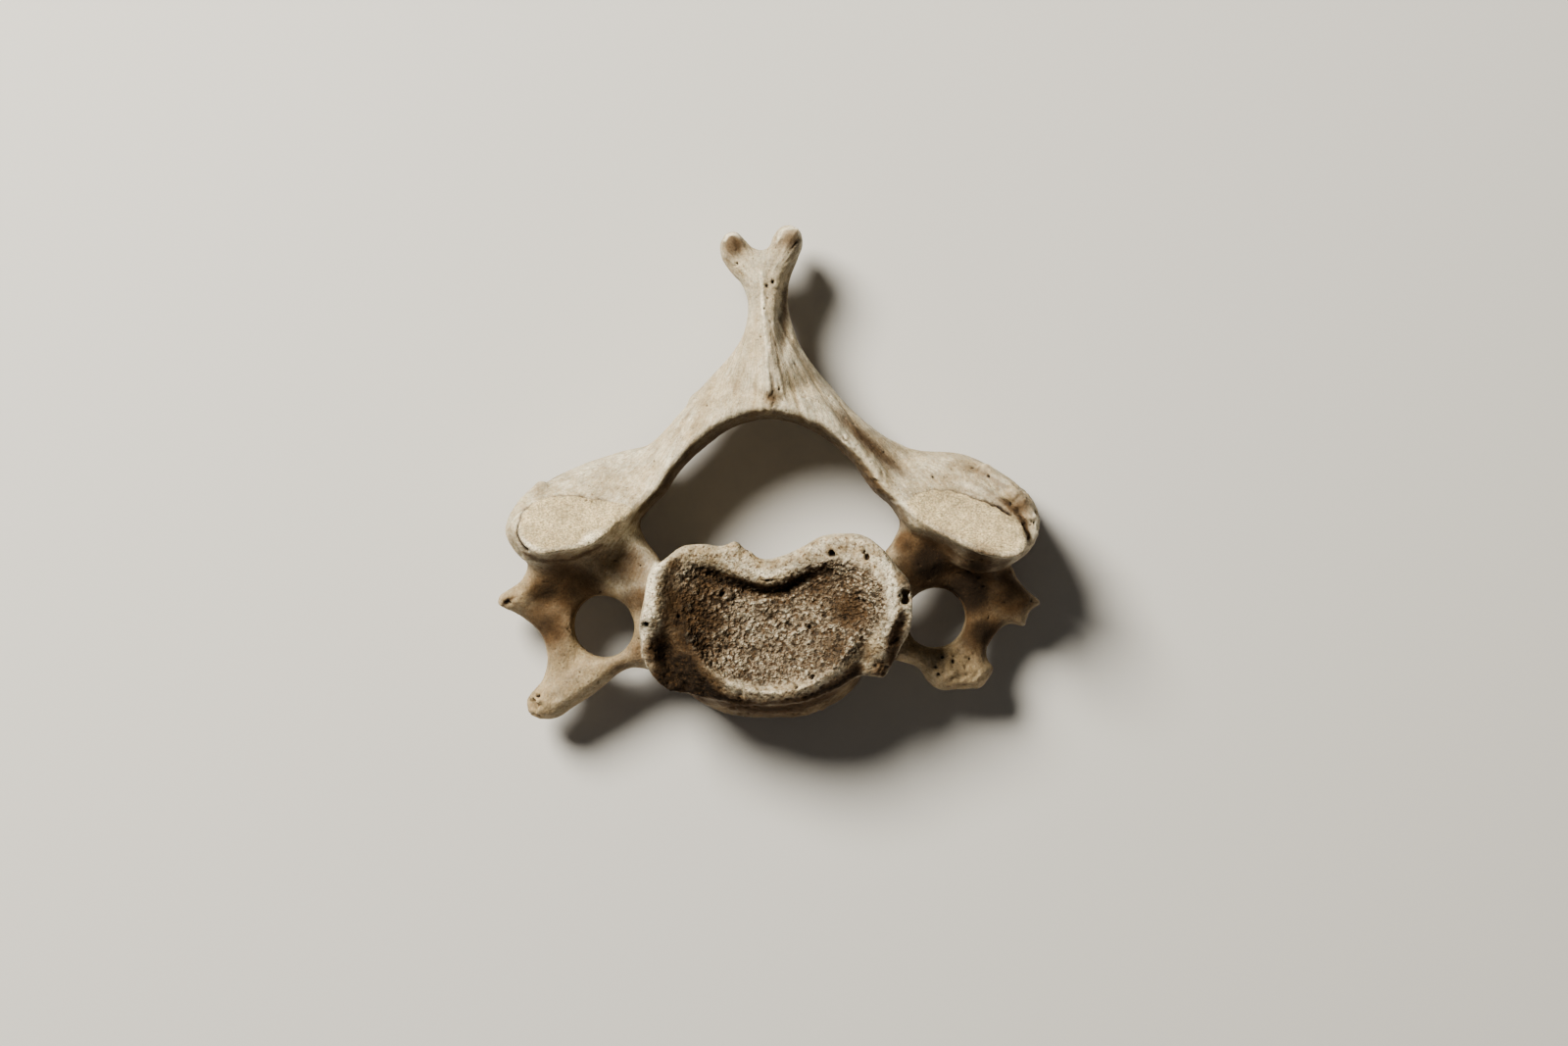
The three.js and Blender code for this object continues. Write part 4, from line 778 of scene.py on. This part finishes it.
def coarse_grain(points):
    """Height of the bowl's grains and of the gaps between some of them."""
    x, y, z = points.T
    along, across = GRAIN_SLANT
    slant = np.stack([x * along + y * across, y * along - x * across, z], 1)
    grains = smooth_step(0.7, 0.2, grain_distance(slant, (0.48, 0.38, 0.46), seed=11))
    gaps = smooth_step(0.26, 0.1, grain_distance(slant, (1.7, 1.1, 1.6), seed=24))
    small = RELIEF["coarse_noise"] * soft_noise(points, 0.3, seed=13)
    large = RELIEF["coarse_noise"] * soft_noise(slant, (1.2, 0.8, 1.2), seed=12)
    height = RELIEF["grain"] * grains - RELIEF["grain"] / 2 + small
    return height + (large - RELIEF["gap"] * gaps)


def fine_grain(points):
    pores = smooth_step(0.4, 0.1, grain_distance(points, 0.42, seed=14))
    return RELIEF["fine_noise"] * soft_noise(points, 0.26, seed=15) - RELIEF["pore"] * pores


def craggy_grain(points):
    pores = grain_distance(points, 0.9, seed=21)
    crags = soft_noise(points, 0.75, seed=22) + 0.6 * soft_noise(points, 0.35, seed=23)
    return crags - 1.4 * smooth_step(0.35, 0.1, pores)


def fan_places(points):
    """Where the points are among the arch's fibres: across them, along them and up."""
    x, y, z = points.T
    right, ahead = x - FAN["x"], FAN["y"] - y
    return np.stack([np.arctan2(right, ahead) * FAN["across"], np.hypot(right, ahead) / FAN["along"],
                     z / FAN["up"]], 1)


def fibre_streaks(x, y, fan, up):
    """Height of the fibres, which show on the arch alone and most on its right half."""
    streaks = 0.6 * soft_noise(fan, 1, seed=16) + 0.4 * soft_noise(fan * (2.3, 1.3, 1), 1, seed=17)
    return streaks * smooth_step(-1.5, 1, y) * up * mix(1, 1.8, smooth_step(1, 4, x))


def stain_and_light_masks(points, normals, zones, bent, up):
    """Where the bone bears stains or lies low, and where highlights and shade are painted: on crests,
    on the canal's walls and where it lies below its surroundings, far from the light.
    """
    x, y, z = points.T
    facing = normals[:, 2]
    # Brown stains and painted shade, weaker on upright walls
    brown = np.maximum(spots(STAINS_AND_SHADE, x, y), relief(BROWN_SHADE_LINES, *bent))
    return dict(
        # Painted highlights along the crests
        pale=relief(HIGHLIGHT_LINES, *bent) * up,
        stain=brown * mix(0.6, 1.1, smooth_step(0.1, 0.5, facing)),
        # Painted shade on the canal's walls
        canal_wall=zones["canal_edge"] * smooth_step(0.85, 0.4, facing) * smooth_step(-6.5, -4, y),
        deep=smooth_step(10.6, 8.6, z) * smooth_step(-4.5, -7, y) * (1 - zones["body"]),
        # Painted shade, partly dirt, where the bone lies below the mean height round it
        sunk=zones["level_around"] - z,
    )


def work_surface(points, normals, zones):
    """Moves the points to give the bone its grain, pores, pits and cracks. Gives masks back too."""
    x, y, z = points.T
    up, bowl, rim, facet, under = surface_kinds(points, normals, zones)
    plain = 1 - np.maximum.reduce([bowl, facet, under])
    coarse = coarse_grain(points)
    fine = fine_grain(points)
    fan = fan_places(points)
    streaks = fibre_streaks(x, y, fan, up)
    swell = RELIEF["swell"] * soft_noise(points, 3.1, seed=18)
    swell = swell + RELIEF["small_swell"] * soft_noise(points, 1.1, seed=19)
    pinholes = RELIEF["pinhole"] * smooth_step(0.1, 0.04, grain_distance(points, 1.5, seed=20))
    rough = spots(ROUGH_PATCHES, x, y) * smooth_step(-0.4, 0.2, normals[:, 2])
    craggy = craggy_grain(points)
    bent = [part + WOBBLE * soft_noise(points, 0.5, seed) for part, seed in ((x, 25), (y, 26))]
    holes = spots(PITS, *bent, sharpness=4) * up
    lines = relief(CRACKS, *bent) * up

    move = bowl * coarse + rim * (0.55 * fine + 0.06 * coarse) + 0.7 * facet * fine
    move += under * (0.6 * coarse)
    move += plain * (RELIEF["fibre"] * streaks + 0.3 * fine - pinholes)
    move += swell * (1 - facet * 0.7) + rough * craggy + up * spots(LUMPS, x, y) - holes - lines
    move *= smooth_step(0.05, 0.5, z)
    masks = dict(
        fan_across=fan[:, 0], fan_along=fan[:, 1], fan_up=z / FAN["fine_up"], streak=streaks,
        bowl=np.maximum(bowl, under), facet=facet, rim=rim,
        granular=np.maximum(bowl, 0.3 * rim),
        # These also carry painted highlights on grain tops and painted shade in gaps and pits
        grain=bowl * (coarse - GRAIN_MIDDLE) / FULL["grain"],
        pitted=np.clip(-(move - swell) / FULL["pit"], 0, 1),
        rough=np.clip(rough / FULL["rough"], 0, 1), line=lines / FULL["crack"],
        **stain_and_light_masks(points, normals, zones, bent, up),
    )
    return points + normals * move[:, None], masks


def add_object(name, data):
    thing = bpy.data.objects.new(name, data)
    bpy.context.scene.collection.objects.link(thing)
    return thing


def add_values(mesh, values):
    for name, data in values.items():
        layer = mesh.attributes.new(name, "FLOAT", "POINT")
        layer.data.foreach_set("value", data.astype(np.float32))


def thinned(mesh):
    """The same mesh with its triangles merged where it is plain, down to the allowed number."""
    triangles = sum(len(face.vertices) - 2 for face in mesh.polygons)
    dense = add_object("dense", mesh)
    modifier = dense.modifiers.new("thin", "DECIMATE")
    modifier.ratio = MOST_TRIANGLES / triangles
    graph = bpy.context.evaluated_depsgraph_get()
    thin = bpy.data.meshes.new_from_object(dense.evaluated_get(graph))
    bpy.data.objects.remove(dense)
    thin.name = "vertebra_bone"
    thin.shade_smooth()
    return thin


# How far the soft shades look round a point, in cells
SHADE_REACHES = dict(hollow=14, crease=4)
AROUND_REACHES = (18, 12)


def level_around(samples, low):
    """The mean height of the bone and table over a few millimetres, on the plan."""
    inside = samples < 0
    top = samples.shape[2] - 1 - np.argmax(inside[:, :, ::-1], 2)
    height = np.where(inside.any(2), low[2] + top * GRID, 0)[:, :, None]
    layers = np.repeat(height, 3, 2)
    for reach in AROUND_REACHES:
        layers = averaged(layers, reach)
    return layers[:, :, 1]


def bone_object():
    """The bone: field, fine mesh, worked surface and colour masks, thinned to the allowed size."""
    samples, low = sample_field()
    points, quads = surface_of(samples, low)
    normals = vertex_normals(points, quads)
    xs = low[0] + np.arange(samples.shape[0]) * GRID
    ys = low[1] + np.arange(samples.shape[1]) * GRID
    maps = zone_maps(*np.meshgrid(xs, ys, indexing="ij"))
    maps["level_around"] = level_around(samples, low)
    zones = {name: look_up(values, low, points) for name, values in maps.items()}
    moved, masks = work_surface(points, normals, zones)
    # The mean solid round each point: painted shade in hollows and creases, painted highlights on
    # convex edges
    solid = (samples < 0).astype(np.float32)
    for name, reach in SHADE_REACHES.items():
        masks[name] = look_up(averaged(averaged(solid, reach), reach // 2), low, points)
    dense = make_mesh("dense", moved, quads)
    add_values(dense, masks)
    return add_object("vertebra_bone", thinned(dense))


class Paint:
    """Adds shader nodes to a tree in plain steps. Each step gives an output back."""

    def __init__(self, tree):
        self.tree = tree

    def feed(self, node, inputs):
        """Sets a node's inputs to numbers or colours, or links other nodes' outputs to them."""
        for name, value in inputs.items():
            socket = node.inputs[name]
            if isinstance(value, (int, float)):
                socket.default_value = value
            elif isinstance(value, tuple):
                socket.default_value = (*value, 1)[:len(socket.default_value)]
            else:
                self.tree.links.new(value, socket)

    def add(self, kind, inputs, output=0, **settings):
        node = self.tree.nodes.new("ShaderNode" + kind)
        for name, value in settings.items():
            setattr(node, name, value)
        self.feed(node, inputs)
        return node.outputs[output]

    def place(self):
        return self.add("TexCoord", {}, "Object")

    def value(self, name):
        return self.add("Attribute", {}, "Fac", attribute_name=name)

    def noise(self, scale, detail=4.0, roughness=0.55, at=None, output="Fac"):
        """Cloudy values, with the scale in steps to a metre, or to a unit of another place."""
        return self.add("TexNoise", {"Vector": at or self.place(), "Scale": scale,
                                     "Detail": detail, "Roughness": roughness}, output)

    def fibres(self):
        """Noise drawn out along the lines that fan out from the spine."""
        axes = (("X", "fan_across"), ("Y", "fan_along"), ("Z", "fan_up"))
        fan = self.add("CombineXYZ", {axis: self.value(name) for axis, name in axes})
        return self.noise(FIBRE_NOISE, 2.0, 0.6, at=fan)

    def ramp(self, value, start, end, low=0.0, high=1.0):
        return self.add("MapRange", {"Value": value, "From Min": start, "From Max": end,
                                     "To Min": low, "To Max": high}, "Result",
                        interpolation_type="SMOOTHSTEP")

    def math(self, operation, a, b):
        return self.add("Math", {0: a, 1: b}, operation=operation)

    def mix(self, share, a, b, blend="MIX"):
        return self.add("Mix", {"Factor": share, 6: a, 7: b}, 2, data_type="RGBA", blend_type=blend)

    def wash(self, colour, tone, value, start, end, most=1.0, within=None):
        """Lays a tone over a colour where a value, or a named one, runs from start to end."""
        if isinstance(value, str):
            value = self.value(value)
        share = self.ramp(value, start, end, 0, most)
        if within is not None:
            share = self.math("MULTIPLY", share, within)
        return self.mix(share, colour, tone)

    def grain_distance(self, along, across, angle, warp=0.0):
        """Distance from the middles of grains of this size, from 0 to about 1."""
        bend = self.noise(WARP_NOISE, 2.0, 0.5, output="Color")
        shifted = self.add("VectorMath", {0: bend, 1: (warp, warp, warp), 2: self.place()},
                           operation="MULTIPLY_ADD")
        turned = self.add("Mapping", {"Vector": shifted, "Rotation": (0, 0, angle),
                                      "Scale": (along, across, along)}, vector_type="TEXTURE")
        return self.add("TexVoronoi", {"Vector": turned, "Scale": 1.0}, "Distance")

    def bump(self, height, strength, distance, under=None):
        inputs = {"Strength": strength, "Distance": distance, "Height": height}
        if under is not None:
            inputs["Normal"] = under
        return self.add("Bump", inputs, "Normal")


def new_material(name):
    """A material, with its paint and the node of its surface."""
    material = bpy.data.materials.new(name)
    material.use_nodes = True
    return material, Paint(material.node_tree), material.node_tree.nodes["Principled BSDF"]


IVORY = (0.71, 0.655, 0.515)
# A pale ivory for painted highlights on crests
HIGHLIGHT_IVORY = (0.95, 0.865, 0.675)
CREAM = (0.60, 0.525, 0.38)
TAN = (0.36, 0.26, 0.145)
FACET_BEIGE = (0.60, 0.49, 0.31)
GREY_BONE = (0.36, 0.285, 0.2)
# Umber for brown stains, cracks and pores, and for painted shade
UMBER_STAIN_AND_SHADE = (0.105, 0.061, 0.029)
# Near-black brown for painted shadow and painted shade in creases, pits and gaps
SHADOW_BROWN = (0.026, 0.016, 0.009)
GRAIN_ANGLE = 0.45
WARP_NOISE = 2200
FIBRE_NOISE = 4.0


def plain_colour(paint):
    """Cream and ivory bone with tan fibres, beige facets and a grey-brown bowl."""
    colour = paint.wash(IVORY, CREAM, paint.noise(240), 0.38, 0.62)
    colour = paint.wash(colour, TAN, paint.noise(620), 0.5, 0.75, 0.22)
    colour = paint.wash(colour, TAN, "streak", 0.2, -0.8, 0.5)
    smooth_bone = paint.ramp(paint.value("granular"), 0.3, 0)
    colour = paint.wash(colour, TAN, paint.fibres(), 0.6, 0.4, 0.42, smooth_bone)
    mottled = paint.ramp(paint.noise(1100), 0.38, 0.62, 0.15, 0.75)
    colour = paint.mix(paint.math("MULTIPLY", mottled, paint.value("rim")), colour, TAN)
    colour = paint.wash(colour, FACET_BEIGE, "facet", 0, 1, 0.9)
    colour = paint.wash(colour, GREY_BONE, "bowl", 0, 1, 0.9)
    colour = paint.wash(colour, TAN, "rough", 0.2, 1, 0.4)
    # Painted highlights: convex edges made ivory
    return paint.wash(colour, IVORY, "crease", 0.42, 0.25, 0.5)


def stains_and_painted_light(paint, colour, patchy):
    """Brown stains and painted shade, partly dirt, in hollows and low places, tan low down, painted
    shade on the canal's walls, and painted highlights on crests.
    """
    colour = paint.wash(colour, TAN, "deep", 0, 1, 0.65)
    # Painted shade, partly dirt, where the bone lies below its surroundings
    colour = paint.wash(colour, UMBER_STAIN_AND_SHADE, "sunk", -1, 3, 0.7, patchy)
    # Brown stains, and painted shade where the bone lies in shade
    colour = paint.wash(colour, UMBER_STAIN_AND_SHADE, "stain", 0.1, 0.9, 1, patchy)
    # Painted shade on the canal's walls
    colour = paint.wash(colour, UMBER_STAIN_AND_SHADE, "canal_wall", 0.1, 0.9, 0.7, patchy)
    # Painted shade in hollows, partly dirt
    colour = paint.wash(colour, UMBER_STAIN_AND_SHADE, "hollow", 0.5, 0.68, 0.7)
    # Painted shadow: the strongest stains and shade turn near black
    colour = paint.wash(colour, SHADOW_BROWN, "stain", 0.85, 1.3, 0.95)
    # Painted highlights along the crests
    return paint.wash(colour, HIGHLIGHT_IVORY, "pale", 0.15, 0.9, 0.9, patchy)


def speckled_and_shaded(paint, colour, grain, dots, patchy):
    """Painted highlights on the tops of grains, painted shade in the gaps between grains, in creases
    and pits, darker cracks, and a dark speckle of pores.
    """
    # Grain tops are lightened less where stains and painted shade lie
    clear_of_stain_and_shade = paint.ramp(paint.value("stain"), 0.2, 1, 1, 0.15)
    # Painted highlights on the tops of grains and painted shade in the gaps between them
    colour = paint.wash(colour, IVORY, "grain", 0.1, 0.8, 0.75, clear_of_stain_and_shade)
    colour = paint.wash(colour, SHADOW_BROWN, "grain", 0, -0.7, 0.8)
    colour = paint.wash(colour, SHADOW_BROWN, grain, 0.5, 0.8, 0.85, paint.value("granular"))
    # Painted shade in creases
    colour = paint.wash(colour, SHADOW_BROWN, "crease", 0.55, 0.8, 0.6)
    colour = paint.wash(colour, UMBER_STAIN_AND_SHADE, "line", 0.2, 1.2, 0.6)
    # Painted shade in pits and wherever the surface is pushed in
    colour = paint.wash(colour, SHADOW_BROWN, "pitted", 0.15, 0.9)
    colour = paint.wash(colour, UMBER_STAIN_AND_SHADE, dots, 0.2, 0.09, 0.45, patchy)
    pores = paint.noise(2700, 4.0, 0.65)
    colour = paint.wash(colour, UMBER_STAIN_AND_SHADE, pores, 0.5, 0.61, 0.95, paint.value("bowl"))
    return paint.wash(colour, UMBER_STAIN_AND_SHADE, pores, 0.5, 0.65, 0.8, paint.value("rim"))


def sandy_grey(paint):
    """A grey near white that makes the colour finely sandy, most on the facets, and cloudy."""
    facet = paint.value("facet")
    sand = paint.ramp(paint.noise(4800, 2.0, 0.6), 0.34, 0.66,
                      paint.ramp(facet, 0, 1, 0.84, 0.64), paint.ramp(facet, 0, 1, 1.08, 1.2))
    for per_metre, low in ((1300, 0.88), (520, 0.84)):
        cloud = paint.ramp(paint.noise(per_metre, 3.0), 0.35, 0.65, low, 1.06)
        sand = paint.math("MULTIPLY", sand, cloud)
    return paint.add("CombineColor", {0: sand, 1: sand, 2: sand})


def bone_colour(paint, grain, dots):
    """The bone's colour: painted highlights on crests, stains and painted shade in hollows, grey-brown
    grain in the bowl.
    """
    patchy = paint.ramp(paint.noise(400), 0.3, 0.7, 0.86, 1.0)
    colour = stains_and_painted_light(paint, plain_colour(paint), patchy)
    colour = speckled_and_shaded(paint, colour, grain, dots, patchy)
    return paint.mix(1.0, colour, sandy_grey(paint), "MULTIPLY")


def bone_material():
    material, paint, surface = new_material("dry_bone")
    grain = paint.grain_distance(0.4 * MM, 0.3 * MM, GRAIN_ANGLE, 0.5 * MM)
    dots = paint.grain_distance(0.6 * MM, 0.5 * MM, -GRAIN_ANGLE)
    rough = paint.math("MAXIMUM", paint.ramp(paint.noise(1500), 0.3, 0.7, 0.5, 0.8),
                       paint.ramp(paint.value("stain"), 0.4, 1.2, 0.5, 0.95))
    grains = paint.math("MULTIPLY", paint.ramp(grain, 0.75, 0.1), paint.value("granular"))
    normal = paint.bump(paint.noise(3600, 3.0, 0.7), 0.6, 0.15 * MM)
    normal = paint.bump(paint.fibres(), 0.4, 0.15 * MM, normal)
    normal = paint.bump(paint.ramp(dots, 0.12, 0.24), 0.6, 0.05 * MM, normal)
    paint.feed(surface, {
        "Base Color": bone_colour(paint, grain, dots),
        "Roughness": rough,
        "Normal": paint.bump(grains, 1.0, 0.13 * MM, normal),
        "Specular IOR Level": 0.25,
        "Subsurface Weight": 0.1,
        "Subsurface Radius": (1.0, 0.5, 0.25),
        "Subsurface Scale": 0.6 * MM,
    })
    return material


TABLE_SIZE = 1.6
TABLE_COLOUR = (0.66, 0.65, 0.63)


def floor_object():
    bpy.ops.mesh.primitive_plane_add(size=TABLE_SIZE, location=(0, 0, 0))
    floor = bpy.context.object
    floor.name = "table"
    material, paint, surface = new_material("table")
    paint.feed(surface, {"Base Color": TABLE_COLOUR, "Roughness": 0.9})
    floor.data.materials.append(material)
    return floor


# The camera looks straight down. The photo's frame is 1600 pixels wide, and its scale holds at the
# level of the upper surfaces.
PHOTO_WIDTH = 1600
PIXELS_PER_MM = 10.3
SCALE_LEVEL = 12.0
SENSOR_WIDTH = 36
CAMERA = dict(x=1.4, y=-4.8, height=530.0)


def add_camera():
    data = bpy.data.cameras.new("camera")
    camera = add_object("camera", data)
    camera.location = Vector((CAMERA["x"], CAMERA["y"], CAMERA["height"])) * MM
    frame_width = PHOTO_WIDTH / PIXELS_PER_MM
    data.sensor_width = SENSOR_WIDTH
    data.lens = SENSOR_WIDTH * (CAMERA["height"] - SCALE_LEVEL) / frame_width
    data.clip_start = 0.01
    bpy.context.scene.camera = camera


def add_area_light(name, place, size, power, colour):
    data = bpy.data.lights.new(name, "AREA")
    data.shape = "DISK"
    data.size = size
    data.energy = power
    data.color = colour
    light = add_object(name, data)
    light.location = place
    light.rotation_euler = (-Vector(place)).to_track_quat("-Z", "Y").to_euler()


# Lamps are rows of (name, place in metres, width, watts, colour)
LAMPS = [
    ("key", (-0.27, 0.295, 0.42), 0.25, 6.7, (1.0, 0.955, 0.85)),
    ("fill", (0.2, -0.5, 0.6), 0.6, 0.12, (1.0, 0.9, 0.8)),
    ("low_fill", (0.15, -0.9, 0.12), 0.5, 1.4, (1.0, 0.95, 0.88)),
]
WALL_COLOUR = (1.0, 0.95, 0.9)
WALL_FADE = dict(start=0.0, end=0.3, low=0.3, high=0.04)


def add_walls():
    """Soft studio walls all round: pale near the horizon, dim higher up."""
    world = bpy.data.worlds.new("studio")
    bpy.context.scene.world = world
    world.use_nodes = True
    paint = Paint(world.node_tree)
    direction = paint.add("TexCoord", {}, "Generated")
    height = paint.add("SeparateXYZ", {0: direction}, "Z")
    paint.feed(world.node_tree.nodes["Background"],
               {"Color": WALL_COLOUR, "Strength": paint.ramp(height, **WALL_FADE)})


bone = bone_object()
bone.data.materials.append(bone_material())
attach(bone, "root")
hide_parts("vertebra")
floor_object()
add_camera()
for lamp in LAMPS:
    add_area_light(*lamp)
add_walls()
bpy.context.scene.view_settings.look = "AgX - Medium High Contrast"
